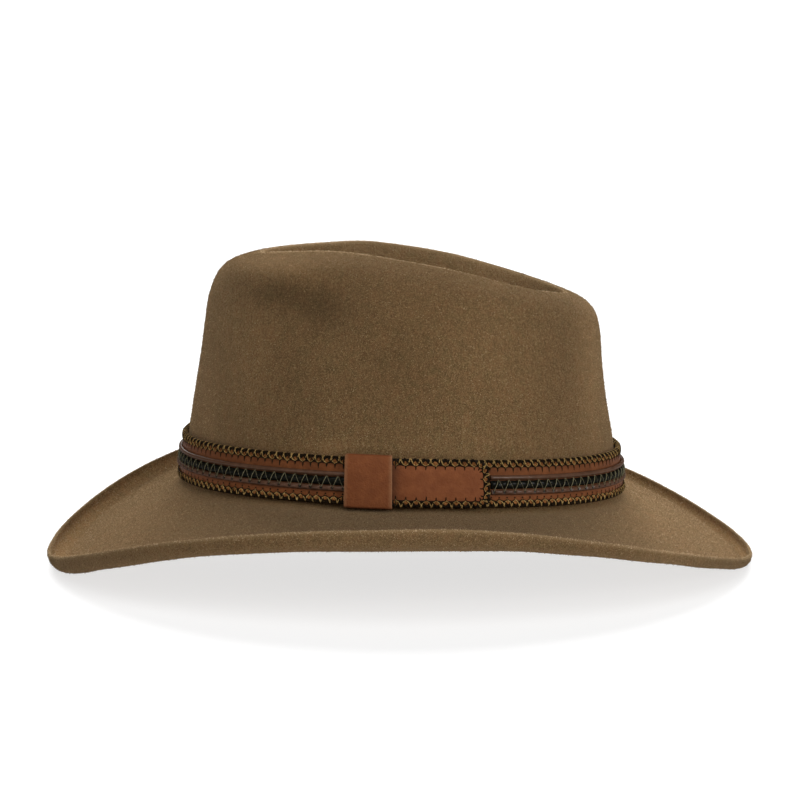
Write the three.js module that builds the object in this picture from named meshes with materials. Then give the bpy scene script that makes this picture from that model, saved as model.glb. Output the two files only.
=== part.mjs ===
// Outback hat: a felt crown and brim with a laced leather hat band.
// Millimetres. -Y is the front, +Y the back, +X the wearer's left and +Z up.
// Z = 0 is the surface that the front and back dips of the brim rest on.
import * as THREE from "three";

// Felt
const FELT_THICKNESS = 2.2;
const REST_FLATTENING = 0.3;
const SECTORS = 64;
const STEPS_BETWEEN_SECTIONS = 2;
const CENTRE_OFFSET_IN_RING = 0.06;
const EDGE_ROUNDING = 0.35;

// Crown sections from the break with the brim up to the crest beside the ridge.
// front, back and side are the reach of the oval, and z_... its height there.
const CROWN_SECTIONS = [
  { name: "break", front: 106.3, back: 108.0, side: 88.0, z_front: 41.4, z_side: 41.0, z_back: 32.6 },
  { name: "band_top", front: 102.8, back: 104.6, side: 84.4, z_front: 67.9, z_side: 67.9, z_back: 61.5 },
  { name: "low", front: 100.2, back: 100.8, side: 80.6, z_front: 85, z_side: 86, z_back: 81 },
  { name: "middle", front: 97.2, back: 98.4, side: 75.6, z_front: 103, z_side: 105, z_back: 98.5 },
  { name: "high", front: 94.8, back: 97.3, side: 69.6, z_front: 120, z_side: 123, z_back: 113.5 },
  { name: "shoulder", front: 91.8, back: 94.8, side: 61.0, z_front: 135, z_side: 138, z_back: 123 },
  { name: "crest", front: 84.0, back: 89.0, side: 50.5, z_front: 147.6, z_side: 147.6, z_back: 129 },
];

// The ridge round the centre dent, from its narrow front end to its back end.
// turn is in degrees round the crown from the front, and half is the distance from the middle plane.
const RIDGE = [
  { turn: 0, half: 0, y: -66, z: 152.2 },
  { turn: 30, half: 8, y: -57, z: 153.4 },
  { turn: 60, half: 21, y: -33, z: 154.8 },
  { turn: 90, half: 36.5, y: -8, z: 153.4 },
  { turn: 120, half: 40.5, y: 26, z: 147.2 },
  { turn: 150, half: 32, y: 61, z: 137.4 },
  { turn: 180, half: 0, y: 80, z: 132.6 },
];

// The floor of the centre dent along the middle plane.
const DENT_FLOOR = [
  { y: -54, z: 147.6 },
  { y: -30, z: 137.5 },
  { y: 0, z: 130.5 },
  { y: 34, z: 125 },
  { y: 60, z: 123 },
  { y: 72, z: 126 },
];
const DENT_STEPS = 5;
const DENT_FALL_POWER = 0.8;

// Soft dents pressed into the felt, each on both sides of the crown.
// fade is the distance from the middle plane inside which the dent dies away.
const PINCHES = [{ name: "front_pinch", y: -36, z: 138, length: 19, height: 17, depth: 6, fade: 20 }];

// Brim profile at the front, side and back.
// reach is the outermost point, z_low the trough inside the curled edge, slopes are downwards in degrees.
const BRIM = {
  front: { reach: 173.0, z_low: 1.6, root_slope: 33, edge_slope: 35, curl_radius: 5.4 },
  side: { reach: 158.5, z_low: 36.8, root_slope: 6, edge_slope: 2, curl_radius: 8.8 },
  back: { reach: 173.0, z_low: 1.6, root_slope: 25, edge_slope: 27, curl_radius: 2.7 },
};
const BRIM_DIP_POWER = { front: 3.1, back: 2.4 };
const CURL_EASE_POWER = 10;
const BRIM_STEPS = 6;
const CURL_TURN = 90;
const CURL_STEPS = 6;
const BREAK_FILLET = 3.5;
const BREAK_STEPS = 3;
const WALL_HELPER_SHARE = 0.8;

// Hat band. Heights are measured up the wall of the crown from the break.
const STRAP = { bottom: 3.0, height: 21.5, thickness: 1.6, standoff: 0.6, front_drop: 0.7, segments: 96 };
const CLEARANCE = 0.4;
const BAND_SAMPLES = 1440;
const TURN_NUDGE = 0.01;
const TRIM_SEGMENTS = 84;
const UPPER_PIPING = { centre: 16.6, width: 2.2, proud: 1.4 };
const CENTRE_CORD = { centre: 13.25, width: 3.8, proud: 1.3 };
const LOWER_PIPING = { centre: 9.8, width: 2.4, proud: 1.4 };

// Half of the rounded section of a trim, as shares of its half width and of its height.
const TRIM_SECTION = [
  { across: 1, proud: 0 },
  { across: 0.85, proud: 0.7 },
  { across: 0.4, proud: 1 },
];

// Places along the band are measured from the middle of the wearer's left side, towards the back.
const LOOP = {
  centre: -18.4,
  width: 21.2,
  thickness: 0.9,
  slack: 0.45,
  outer_corner: 0.9,
  inner_corner: 0.3,
  steps: 8,
  margin: 7,
  fade: 16,
};
const TAB = { start: -18, end: 37, thickness: 1.4, overhang: 0.4, corner: 6, steps: 22 };
const TRIM_START = TAB.end + 0.8;
const TRIM_END = TAB.start - 1.2;

const TURN_FULL = 2 * Math.PI;
const UP = new THREE.Vector3(0, 0, 1);

function mix(from, to, share) {
  return from + (to - from) * share;
}

// Value on a smooth curve through four numbers, between the second and the third.
function smoothBetween(before, start, end, after, share) {
  const a = 2 * start;
  const b = end - before;
  const c = 2 * before - 5 * start + 4 * end - after;
  const d = 3 * start - before - 3 * end + after;
  return (a + b * share + c * share ** 2 + d * share ** 3) / 2;
}

function smoothPoint(points, index, share) {
  const before = points[Math.max(index - 1, 0)];
  const start = points[index];
  const end = points[index + 1];
  const after = points[Math.min(index + 2, points.length - 1)];
  return new THREE.Vector3(
    smoothBetween(before.x, start.x, end.x, after.x, share),
    smoothBetween(before.y, start.y, end.y, after.y, share),
    smoothBetween(before.z, start.z, end.z, after.z, share),
  );
}

// Front, side and back values of a size, blended round the hat by a power of the cosine.
function roundValue(front, side, back, turn, power) {
  const along = Math.cos(turn);
  const end = along > 0 ? front : back;
  return mix(side, end, Math.abs(along) ** power);
}

// Height of a ring that leans from front to back.
function leaningHeight(section, turn) {
  const along = Math.cos(turn);
  const lean = (section.z_front - section.z_back) / 2;
  const bow = (section.z_front + section.z_back) / 2 - section.z_side;
  return section.z_side + lean * along + bow * along ** 2;
}

function ovalPoint(section, turn) {
  const along = Math.cos(turn);
  const reach = along > 0 ? section.front : section.back;
  return new THREE.Vector3(section.side * Math.sin(turn), -reach * along, leaningHeight(section, turn));
}

// A row of the ridge table, mirrored across the middle plane beyond its ends.
function ridgeRow(index) {
  const last = RIDGE.length - 1;
  if (index >= 0 && index <= last) {
    return RIDGE[index];
  }
  const twin = RIDGE[index < 0 ? -index : 2 * last - index];
  return { half: -twin.half, y: twin.y, z: twin.z };
}

// The ridge on the wearer's left or right, whose table covers half a turn.
function ridgePoint(turn) {
  const wrapped = ((turn % TURN_FULL) + TURN_FULL) % TURN_FULL;
  const side = wrapped > Math.PI ? -1 : 1;
  const half = wrapped > Math.PI ? TURN_FULL - wrapped : wrapped;
  const step = Math.PI / (RIDGE.length - 1);
  const index = Math.min(Math.floor(half / step), RIDGE.length - 2);
  const share = half / step - index;
  const rows = [ridgeRow(index - 1), ridgeRow(index), ridgeRow(index + 1), ridgeRow(index + 2)];
  const value = (key) => smoothBetween(rows[0][key], rows[1][key], rows[2][key], rows[3][key], share);
  return new THREE.Vector3(side * value("half"), value("y"), value("z"));
}

function dentFloorHeight(y) {
  const last = DENT_FLOOR.length - 1;
  const clamped = Math.min(Math.max(y, DENT_FLOOR[0].y), DENT_FLOOR[last].y);
  let index = 0;
  while (index < last - 1 && DENT_FLOOR[index + 1].y < clamped) {
    index += 1;
  }
  const start = DENT_FLOOR[index];
  const end = DENT_FLOOR[index + 1];
  const before = DENT_FLOOR[Math.max(index - 1, 0)];
  const after = DENT_FLOOR[Math.min(index + 2, last)];
  const share = (clamped - start.y) / (end.y - start.y);
  return smoothBetween(before.z, start.z, end.z, after.z, share);
}

// A point of the dent, with depth 0 on the ridge and 1 on the floor.
function dentPoint(turn, depth) {
  const ridge = ridgePoint(turn);
  const floorFront = DENT_FLOOR[0].y;
  const floorBack = DENT_FLOOR[DENT_FLOOR.length - 1].y;
  const ridgeShare = (ridge.y - RIDGE[0].y) / (RIDGE[RIDGE.length - 1].y - RIDGE[0].y);
  const floorY = mix(floorFront, floorBack, ridgeShare);
  const fall = (1 - Math.cos(Math.PI * depth ** DENT_FALL_POWER)) / 2;
  return new THREE.Vector3(
    mix(ridge.x, ridge.x * CENTRE_OFFSET_IN_RING, depth),
    mix(ridge.y, floorY, depth),
    mix(ridge.z, dentFloorHeight(floorY), fall),
  );
}

// Brim points from the break out to the tip of the curled edge.
function brimPoints(turn) {
  const root = ovalPoint(CROWN_SECTIONS[0], turn);
  const value = (key, power) => roundValue(BRIM.front[key], BRIM.side[key], BRIM.back[key], turn, power);
  const along = Math.cos(turn);
  const reach = along > 0 ? BRIM.front.reach : BRIM.back.reach;
  const dipPower = along > 0 ? BRIM_DIP_POWER.front : BRIM_DIP_POWER.back;
  const rim = new THREE.Vector3(BRIM.side.reach * Math.sin(turn), -reach * along, 0);
  const outward = new THREE.Vector3(rim.x - root.x, rim.y - root.y, 0);
  const width = outward.length();
  outward.normalize();

  const curlEase = 1 - Math.abs(Math.sin(turn)) ** CURL_EASE_POWER;
  const curlEnd = along > 0 ? BRIM.front.curl_radius : BRIM.back.curl_radius;
  const radius = mix(BRIM.side.curl_radius, curlEnd, curlEase);
  const rootSlope = THREE.MathUtils.degToRad(value("root_slope", 2));
  const edgeSlope = THREE.MathUtils.degToRad(value("edge_slope", 2));
  const lowZ = value("z_low", dipPower);
  const edgeRun = width - FELT_THICKNESS - radius * (1 + Math.sin(edgeSlope));
  const edgeZ = lowZ + radius * (1 - Math.cos(edgeSlope));
  const chord = Math.hypot(edgeRun, edgeZ - root.z);

  const at = (run, z) => new THREE.Vector3(root.x + outward.x * run, root.y + outward.y * run, z);
  const flat = (share) => {
    const a = share ** 2 * (3 - 2 * share);
    const b = share * (1 - share) ** 2 * chord;
    const c = share ** 2 * (share - 1) * chord;
    const run = a * edgeRun + b * Math.cos(rootSlope) + c * Math.cos(edgeSlope);
    const z = mix(root.z, edgeZ, a) - b * Math.sin(rootSlope) - c * Math.sin(edgeSlope);
    return at(run, z);
  };

  const points = [];
  const filletEnd = BREAK_FILLET / chord;
  const wallUp = ovalPoint(CROWN_SECTIONS[1], turn).sub(root).normalize();
  const filletTop = root.clone().addScaledVector(wallUp, BREAK_FILLET);
  const filletFoot = flat(filletEnd);
  for (let i = 0; i < BREAK_STEPS; i += 1) {
    const share = i / BREAK_STEPS;
    const upper = filletTop.clone().lerp(root, share);
    const lower = root.clone().lerp(filletFoot, share);
    points.push(upper.lerp(lower, share));
  }
  for (let i = 0; i < BRIM_STEPS; i += 1) {
    points.push(flat(mix(filletEnd, 1, i / BRIM_STEPS)));
  }
  const turnUp = edgeSlope + THREE.MathUtils.degToRad(CURL_TURN);
  for (let i = 0; i <= CURL_STEPS; i += 1) {
    const heading = -edgeSlope + (turnUp * i) / CURL_STEPS;
    const run = edgeRun + radius * (Math.sin(heading) + Math.sin(edgeSlope));
    points.push(at(run, lowZ + radius * (1 - Math.cos(heading))));
  }
  return points;
}

// Outer face of the felt at one turn, from the floor of the dent to the edge of the brim.
function feltProfile(turn) {
  const points = [];
  for (let i = DENT_STEPS; i > 0; i -= 1) {
    points.push(dentPoint(turn, i / DENT_STEPS));
  }
  const wall = CROWN_SECTIONS.slice(1).map((section) => ovalPoint(section, turn));
  const route = [wallFoot(turn), ...wall, ridgePoint(turn), dentPoint(turn, 1 / DENT_STEPS)];
  const climb = [];
  for (let index = 1; index < route.length - 2; index += 1) {
    for (let step = 0; step < STEPS_BETWEEN_SECTIONS; step += 1) {
      climb.push(smoothPoint(route, index, step / STEPS_BETWEEN_SECTIONS));
    }
  }
  climb.push(ridgePoint(turn));
  points.push(...climb.reverse(), ...brimPoints(turn));
  return points.map(pinched);
}

// Helper point below the top of the band, so that the wall runs straight behind the band.
function wallFoot(turn) {
  const top = ovalPoint(CROWN_SECTIONS[1], turn);
  const foot = ovalPoint(CROWN_SECTIONS[0], turn);
  return top.clone().lerp(foot, WALL_HELPER_SHARE);
}

function pinched(point) {
  const moved = point.clone();
  for (const pinch of PINCHES) {
    const share = ((point.y - pinch.y) / pinch.length) ** 2 + ((point.z - pinch.z) / pinch.height) ** 2;
    const inward = pinch.depth * Math.exp(-share) * Math.min(Math.abs(point.x) / pinch.fade, 1);
    moved.x -= Math.sign(point.x) * inward;
  }
  return moved;
}

// Closed mesh from rings with the same even number of points. Each end is closed by a strip.
function cappedLoft(rings) {
  const count = rings[0].length;
  const faces = [];
  const capFaces = (offset, flip) => {
    const capped = [];
    const half = count / 2;
    capped.push([offset, offset + 1, offset + count - 1]);
    for (let i = 1; i < half - 1; i += 1) {
      capped.push([offset + i, offset + i + 1, offset + count - i]);
      capped.push([offset + i + 1, offset + count - i - 1, offset + count - i]);
    }
    capped.push([offset + half - 1, offset + half, offset + half + 1]);
    for (const face of capped) {
      faces.push(flip ? [...face].reverse() : face);
    }
  };
  for (let row = 0; row < rings.length - 1; row += 1) {
    faces.push(...bandFaces(row * count, (row + 1) * count, count));
  }
  capFaces(0, false);
  capFaces((rings.length - 1) * count, true);
  return solidGeometry(rings.flat(), faces);
}

// Closed ring-shaped mesh, in which the last ring joins the first.
function loopLoft(rings) {
  const count = rings[0].length;
  const faces = [];
  for (let row = 0; row < rings.length; row += 1) {
    const next = (row + 1) % rings.length;
    faces.push(...bandFaces(row * count, next * count, count));
  }
  return solidGeometry(rings.flat(), faces);
}

function bandFaces(start, end, count) {
  const faces = [];
  for (let i = 0; i < count; i += 1) {
    const next = (i + 1) % count;
    faces.push([start + i, end + i, end + next]);
    faces.push([start + i, end + next, start + next]);
  }
  return faces;
}

// Indexed geometry with its faces turned outwards.
function solidGeometry(points, faces) {
  let volume = 0;
  for (const [a, b, c] of faces) {
    volume += points[a].dot(points[b].clone().cross(points[c]));
  }
  const ordered = volume < 0 ? faces.map((face) => [...face].reverse()) : faces;
  const geometry = new THREE.BufferGeometry().setFromPoints(points);
  geometry.setIndex(ordered.flat());
  geometry.computeVertexNormals();
  return geometry;
}

// Felt body: the outer face, a rounded edge and the inner face, as one wall.
function feltGeometry() {
  const profiles = [];
  for (let i = 0; i < SECTORS; i += 1) {
    profiles.push(feltProfile((TURN_FULL * i) / SECTORS));
  }
  const rows = profiles[0].length;
  const outer = [];
  for (let row = 0; row < rows; row += 1) {
    outer.push(profiles.map((profile) => profile[row]));
  }
  const normals = outwardNormals(outer);
  const inner = outer.map((ring, row) =>
    ring.map((point, i) => {
      const moved = point.clone().addScaledVector(normals[row][i], -FELT_THICKNESS);
      if (moved.z < REST_FLATTENING) {
        moved.z = 0;
      }
      return moved;
    }),
  );
  const last = rows - 1;
  const edge = outer[last].map((point, i) => {
    const tip = point.clone().lerp(inner[last][i], 0.5);
    return tip.addScaledVector(UP, FELT_THICKNESS * EDGE_ROUNDING);
  });
  return cappedLoft([...outer, edge, ...inner.reverse()]);
}

// Normals of the outer face, from the neighbours in both directions.
function outwardNormals(rings) {
  const count = rings[0].length;
  return rings.map((ring, row) =>
    ring.map((_, i) => {
      if (row === 0 && (i === 0 || i === count / 2)) {
        return UP.clone();
      }
      const above = row === 0 ? ring[(count - i) % count] : rings[row - 1][i];
      const below = rings[Math.min(row + 1, rings.length - 1)][i];
      const down = below.clone().sub(above);
      const around = ring[(i + 1) % count].clone().sub(ring[(i + count - 1) % count]);
      return around.cross(down).normalize().negate();
    }),
  );
}

// Distance along the middle line of the strap, measured as a table of turns.
function bandTable() {
  const table = [{ turn: Math.PI / 2, distance: 0 }];
  let previous = wallPoint(Math.PI / 2);
  for (let i = 1; i <= BAND_SAMPLES; i += 1) {
    const turn = Math.PI / 2 + (TURN_FULL * i) / BAND_SAMPLES;
    const point = wallPoint(turn);
    const distance = table[i - 1].distance + point.distanceTo(previous);
    table.push({ turn, distance });
    previous = point;
  }
  return table;
}

function wallPoint(turn) {
  const foot = ovalPoint(CROWN_SECTIONS[0], turn);
  const up = ovalPoint(CROWN_SECTIONS[1], turn).sub(foot).normalize();
  return foot.addScaledVector(up, STRAP.bottom + STRAP.height / 2);
}

const BAND_TABLE = bandTable();
const BAND_LENGTH = BAND_TABLE[BAND_TABLE.length - 1].distance;

function turnAt(distance) {
  const wanted = ((distance % BAND_LENGTH) + BAND_LENGTH) % BAND_LENGTH;
  let low = 0;
  let high = BAND_TABLE.length - 1;
  while (high - low > 1) {
    const middle = Math.floor((low + high) / 2);
    if (BAND_TABLE[middle].distance > wanted) {
      high = middle;
    } else {
      low = middle;
    }
  }
  const start = BAND_TABLE[low];
  const end = BAND_TABLE[high];
  return mix(start.turn, end.turn, (wanted - start.distance) / (end.distance - start.distance));
}

// The strap stands further off the felt where the loop passes behind it.
function standoff(distance) {
  const wrapped = distance > BAND_LENGTH / 2 ? distance - BAND_LENGTH : distance;
  const beyond = Math.max(Math.abs(wrapped - LOOP.centre) - LOOP.width / 2 - LOOP.margin, 0);
  const share = Math.max(1 - beyond / LOOP.fade, 0);
  const swell = share ** 2 * (3 - 2 * share);
  return STRAP.standoff + (LOOP.thickness + CLEARANCE) * swell;
}

// The band sits a little lower round the front.
function frontDrop(turn) {
  return (STRAP.front_drop * (1 + Math.cos(turn))) / 2;
}

// A point of the band, by place along it, height up the wall and distance out from the strap's inner face.
function bandPoint(distance, height, out) {
  const turn = turnAt(distance);
  const foot = ovalPoint(CROWN_SECTIONS[0], turn);
  const up = ovalPoint(CROWN_SECTIONS[1], turn).sub(foot).normalize();
  const around = wallPoint(turn + TURN_NUDGE).sub(wallPoint(turn - TURN_NUDGE)).normalize();
  const outward = around.cross(up).normalize();
  const lowered = height - frontDrop(turn);
  return foot.addScaledVector(up, lowered).addScaledVector(outward, standoff(distance) + out);
}

function strapGeometry() {
  const rings = [];
  const top = STRAP.bottom + STRAP.height;
  for (let i = 0; i < STRAP.segments; i += 1) {
    const distance = (BAND_LENGTH * i) / STRAP.segments;
    rings.push([
      bandPoint(distance, STRAP.bottom, 0),
      bandPoint(distance, STRAP.bottom, STRAP.thickness),
      bandPoint(distance, top, STRAP.thickness),
      bandPoint(distance, top, 0),
    ]);
  }
  return loopLoft(rings);
}

// A rounded trim strip on the strap's outer face, from behind the tab's end round to the loop.
function trimGeometry(trim) {
  const rings = [];
  const base = STRAP.thickness + CLEARANCE;
  const half = trim.width / 2;
  for (let i = 0; i <= TRIM_SEGMENTS; i += 1) {
    const distance = mix(TRIM_START, BAND_LENGTH + TRIM_END, i / TRIM_SEGMENTS);
    const corner = (side, row) => {
      return bandPoint(distance, trim.centre + side * half * row.across, base + trim.proud * row.proud);
    };
    const lower = TRIM_SECTION.map((row) => corner(-1, row));
    const upper = TRIM_SECTION.map((row) => corner(1, row));
    rings.push([...lower, ...upper.reverse()]);
  }
  return cappedLoft(rings);
}

// The tab, whose free end has rounded corners.
function tabGeometry() {
  const rings = [];
  const inner = STRAP.thickness + CLEARANCE;
  const outer = inner + TAB.thickness;
  const bottom = STRAP.bottom - TAB.overhang;
  const top = STRAP.bottom + STRAP.height + TAB.overhang;
  for (let i = 0; i <= TAB.steps; i += 1) {
    const share = Math.sin((Math.PI / 2) * (i / TAB.steps));
    const distance = mix(TAB.start, TAB.end, share);
    const intoCorner = Math.max(TAB.corner - (TAB.end - distance), 0);
    const inset = TAB.corner - Math.sqrt(TAB.corner ** 2 - intoCorner ** 2);
    rings.push([
      bandPoint(distance, bottom + inset, inner),
      bandPoint(distance, bottom + inset, outer),
      bandPoint(distance, top - inset, outer),
      bandPoint(distance, top - inset, inner),
    ]);
  }
  return cappedLoft(rings);
}

// Corners of a box round the strap and the tab, in height and distance out.
function loopRing(distance, spread, cut) {
  const around = TAB.overhang + LOOP.slack + spread;
  const bottom = STRAP.bottom - around;
  const top = STRAP.bottom + STRAP.height + around;
  const back = -CLEARANCE - spread;
  const front = STRAP.thickness + CLEARANCE + TAB.thickness + CLEARANCE + spread;
  const corners = [
    [bottom + cut, back],
    [bottom, back + cut],
    [bottom, front - cut],
    [bottom + cut, front],
    [top - cut, front],
    [top, front - cut],
    [top, back + cut],
    [top - cut, back],
  ];
  return corners.map(([height, out]) => bandPoint(distance, height, out));
}

function loopGeometry() {
  const outer = [];
  const inner = [];
  for (let i = 0; i <= LOOP.steps; i += 1) {
    const distance = LOOP.centre + LOOP.width * (i / LOOP.steps - 0.5);
    outer.push(loopRing(distance, LOOP.thickness, LOOP.outer_corner));
    inner.push(loopRing(distance, 0, LOOP.inner_corner));
  }
  return loopLoft([...outer, ...inner.reverse()]);
}

const felt = new THREE.MeshStandardMaterial({ color: 0x66503a, roughness: 0.95, metalness: 0 });
const leather = new THREE.MeshStandardMaterial({ color: 0x593823, roughness: 0.6, metalness: 0 });
const loopLeather = new THREE.MeshStandardMaterial({ color: 0x643b26, roughness: 0.65, metalness: 0 });
const tabLeather = new THREE.MeshStandardMaterial({ color: 0x6c4029, roughness: 0.65, metalness: 0 });
const pipingLeather = new THREE.MeshStandardMaterial({ color: 0x4d362a, roughness: 0.35, metalness: 0 });
const blackLeather = new THREE.MeshStandardMaterial({ color: 0x221d15, roughness: 0.3, metalness: 0 });

const hat = new THREE.Group();

function addPiece(name, geometry, material) {
  const piece = new THREE.Mesh(geometry, material);
  piece.name = name;
  hat.add(piece);
}

addPiece("felt_body", feltGeometry(), felt);
addPiece("hat_band", strapGeometry(), leather);
addPiece("upper_piping", trimGeometry(UPPER_PIPING), pipingLeather);
addPiece("centre_cord", trimGeometry(CENTRE_CORD), blackLeather);
addPiece("lower_piping", trimGeometry(LOWER_PIPING), pipingLeather);
addPiece("band_tab", tabGeometry(), tabLeather);
addPiece("band_loop", loopGeometry(), loopLeather);

export default hat;
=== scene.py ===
"""Outback hat of brown felt with a laced leather band.

Shapes are worked out in millimetres in the part's own axes: -Y front, +Y back, +X the wearer's left, +Z up.
They become metres where a mesh is made.
"""

import math

import bpy
import numpy as np
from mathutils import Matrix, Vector


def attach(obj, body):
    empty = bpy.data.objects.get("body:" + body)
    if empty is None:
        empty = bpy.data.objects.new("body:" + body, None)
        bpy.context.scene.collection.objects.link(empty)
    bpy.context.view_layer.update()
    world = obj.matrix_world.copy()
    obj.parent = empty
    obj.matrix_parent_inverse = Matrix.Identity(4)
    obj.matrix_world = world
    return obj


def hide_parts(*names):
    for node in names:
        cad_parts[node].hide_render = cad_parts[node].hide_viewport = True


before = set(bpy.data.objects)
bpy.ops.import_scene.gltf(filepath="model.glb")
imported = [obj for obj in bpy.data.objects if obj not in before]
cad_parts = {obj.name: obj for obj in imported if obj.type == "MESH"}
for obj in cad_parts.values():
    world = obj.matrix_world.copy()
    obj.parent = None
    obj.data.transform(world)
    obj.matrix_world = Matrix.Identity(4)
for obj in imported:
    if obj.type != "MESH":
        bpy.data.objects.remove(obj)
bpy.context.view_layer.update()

MM = 0.001
SEED = 11
FULL_TURN = 2 * math.pi

# Felt sizes
FELT_THICKNESS = 2.2
FELT_SECTORS = 272
FELT_TURNS = np.arange(FELT_SECTORS) * FULL_TURN / FELT_SECTORS
WALL_STEPS = 7
DENT_STEPS = 18
BREAK_STEPS = 5
BRIM_STEPS = 26
CURL_STEPS = 12
EDGE_STEPS = 6
SMOOTHING_PASSES = 4


def table(columns, *rows):
    """Rows of values by the names of their columns."""
    return [dict(zip(columns.split(), row)) for row in rows]


# Crown sections from the break with the brim, past the top of the band, to the crest beside the ridge.
# front, back and side are the reach of the oval, and z_front, z_side and z_back its height there.
CROWN_SECTIONS = table(
    "front back side z_front z_side z_back",
    (106.3, 108.0, 88.0, 41.4, 41.0, 32.6),
    (102.8, 104.6, 84.4, 67.9, 67.9, 61.5),
    (100.2, 100.8, 80.6, 85, 86, 81),
    (97.2, 98.4, 75.6, 103, 105, 98.5),
    (94.8, 97.3, 69.6, 120, 123, 113.5),
    (91.8, 94.8, 61.0, 135, 138, 123),
    (84.0, 89.0, 50.5, 147.6, 147.6, 129),
)

# The ridge round the centre dent at even turns from the front to the back.
RIDGE = {
    "half": [0, 8, 21, 36.5, 40.5, 32, 0],
    "y": [-66, -57, -33, -8, 26, 61, 80],
    "z": [152.2, 153.4, 154.8, 153.4, 147.2, 137.4, 132.6],
}

# The floor of the centre dent along the middle plane.
DENT_FLOOR = {
    "y": [-54, -30, 0, 34, 60, 72],
    "z": [147.6, 137.5, 130.5, 125, 123, 126],
}
DENT_FALL_POWER = 0.8
DENT_HELPER_DEPTH = 0.2
CENTRE_OFFSET_IN_RING = 0.06
PINCH = {"y": -36, "z": 138, "length": 19, "height": 17, "depth": 6, "fade": 20}

# Brim profile at the front, side and back.
BRIM = {
    "front": {"reach": 173.0, "z_low": 1.6, "root_slope": 33, "edge_slope": 35, "curl_radius": 5.4},
    "side": {"reach": 158.5, "z_low": 36.8, "root_slope": 6, "edge_slope": 2, "curl_radius": 8.8},
    "back": {"reach": 173.0, "z_low": 1.6, "root_slope": 25, "edge_slope": 27, "curl_radius": 2.7},
}
BRIM_DIP_POWER = {"front": 3.1, "back": 2.4}
CURL_EASE_POWER = 10
CURL_TURN = 90
BREAK_FILLET = 3.5
WALL_HELPER_SHARE = 0.8

# Slow waves that keep the felt from looking machined: a length, a direction, a height and a start.
FELT_WAVES = table(
    "length x y z height start",
    (61, 0.6, 0.7, 0.4, 0.16, 0.4),
    (43, -0.5, 0.8, -0.3, 0.12, 2.1),
    (97, 0.2, -0.4, 0.9, 0.22, 4.0),
    (29, 0.9, 0.1, 0.5, 0.06, 1.2),
)

# Soft patches of painted light and shade on the felt, lighter or darker to stand in for how the light falls,
# the same on both sides of the hat.
# The last one is on the back of the brim, and the others are on the crown.
PAINTED_LIGHT_AND_SHADE_PATCHES = table(
    "y z length height tone",
    (-61, 138, 17, 8, -0.36),
    (-38, 132, 13, 10, -0.36),
    (-58, 149, 20, 5, 0.35),
    (-53, 102, 12, 34, -0.12),
    (-74, 102, 9, 22, 0.12),
    (-93, 75, 7, 25, 0.18),
    (-7, 110, 16, 16, -0.12),
    (37, 108, 20, 34, 0.14),
    (73, 104, 10, 30, -0.12),
    (91, 98, 7, 38, 0.32),
    (-34, 68, 17, 11, 0.26),
    (22, 70, 36, 14, 0.2),
    (125, 28, 24, 14, 0.28),
)

# Painted light inside the curled edge, which lies in shade, centred at a share of the curl below its tip.
CURL_PAINTED_LIGHT = {"share": 0.45, "rows": 6.0, "tone": 0.6}
# Painted shade on the outside of the curled edge, strongest at the front and back ends.
CURL_PAINTED_SHADE = {"rows": 9.0, "tone": -0.3, "reach": 150.0}
# Painted light and shade on the top of the brim, darker at its sides and lighter towards its ends.
BRIM_PAINTED_LIGHT_AND_SHADE = {"side": -0.14, "end": 0.34}
# How wide the worn felt, with a painted highlight on it, is on the ridge and on the brim's edge, in rows of
# the felt's profile.
WEAR_AND_HIGHLIGHT_ROWS = {"ridge": 0.8, "edge": 1.8}

# Short wool fibres on the felt, from the shortest to the longest. least_tilt is how far sideways a fibre
# leans at least for one up, and tilt how much more it may lean. extra more of them stand on worn felt,
# where a highlight is painted as well.
FIBRE = {
    "shortest": 0.5,
    "longest": 1.1,
    "width": 0.26,
    "least_tilt": 0.6,
    "tilt": 1.2,
    "sunk": 0.1,
    "extra": 2.5,
}
FIBRE_COUNTS = {"crown": 37000, "brim": 40000}
# No fibre stands under the band, within out of the crown's foot and below top.
FIBRE_FREE = {"out": 4.0, "top": 28.0}
# Corners 0 to 2 are the foot of a fibre and 3 is its tip.
FIBRE_SIDES = 3
FIBRE_FACES = [[0, 1, 3], [1, 2, 3], [2, 0, 3], [2, 1, 0]]
FIBRE_SEED = 12

# Hat band. Heights are measured up the wall of the crown from the break.
STRAP = {"bottom": 3.0, "height": 21.5, "thickness": 1.6, "standoff": 0.6, "front_drop": 0.7}
STRAP_TOP = STRAP["bottom"] + STRAP["height"]
STRAP_STEPS = {"along": 400, "across": 32}
CLEARANCE = 0.4
BAND_SAMPLES = 1440
TURN_NUDGE = 0.01

# Places along the band are measured from the middle of the wearer's left side, towards the back.
# margin and fade are how far from the loop the strap stands off the felt to let it pass behind.
# inner_corner is the share of the corner that the loop's inner face has. Its front swells by bulge,
# which loses the share end_flattening at its ends, and its cut edges are paler over cut_edge.
LOOP = {
    "centre": -18.4,
    "width": 21.2,
    "thickness": 0.9,
    "slack": 0.45,
    "corner": 1.3,
    "inner_corner": 0.4,
    "margin": 7,
    "fade": 16,
    "bulge": 0.35,
    "end_flattening": 0.5,
    "cut_edge": 0.9,
}
LOOP_STEPS = {"along": 14, "end": 5, "corner": 6, "side": 12}
LOOP_CORNERS = [(-1, 1), (1, 1), (1, -1), (-1, -1)]
TAB = {"start": -18, "end": 37, "thickness": 1.4, "overhang": 0.4, "corner": 6, "painted_shadow_reach": 3.4}
TAB_STEPS = {"along": 110, "across": 28, "corner": 24}
TAB_BOTTOM = STRAP["bottom"] - TAB["overhang"]
TAB_TOP = STRAP_TOP + TAB["overhang"]

# Faces of leather: a rounded edge, a line pressed in near it and a swell further in.
STRAP_FACE, TAB_FACE = table(
    "radius pressed line line_width puffed swell swell_width",
    (0.6, 0.22, 1.4, 1.1, 0.16, 4.6, 1.2),
    (0.6, 0.2, 1.4, 1.0, 0.25, 7, 4.5),
)

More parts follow.
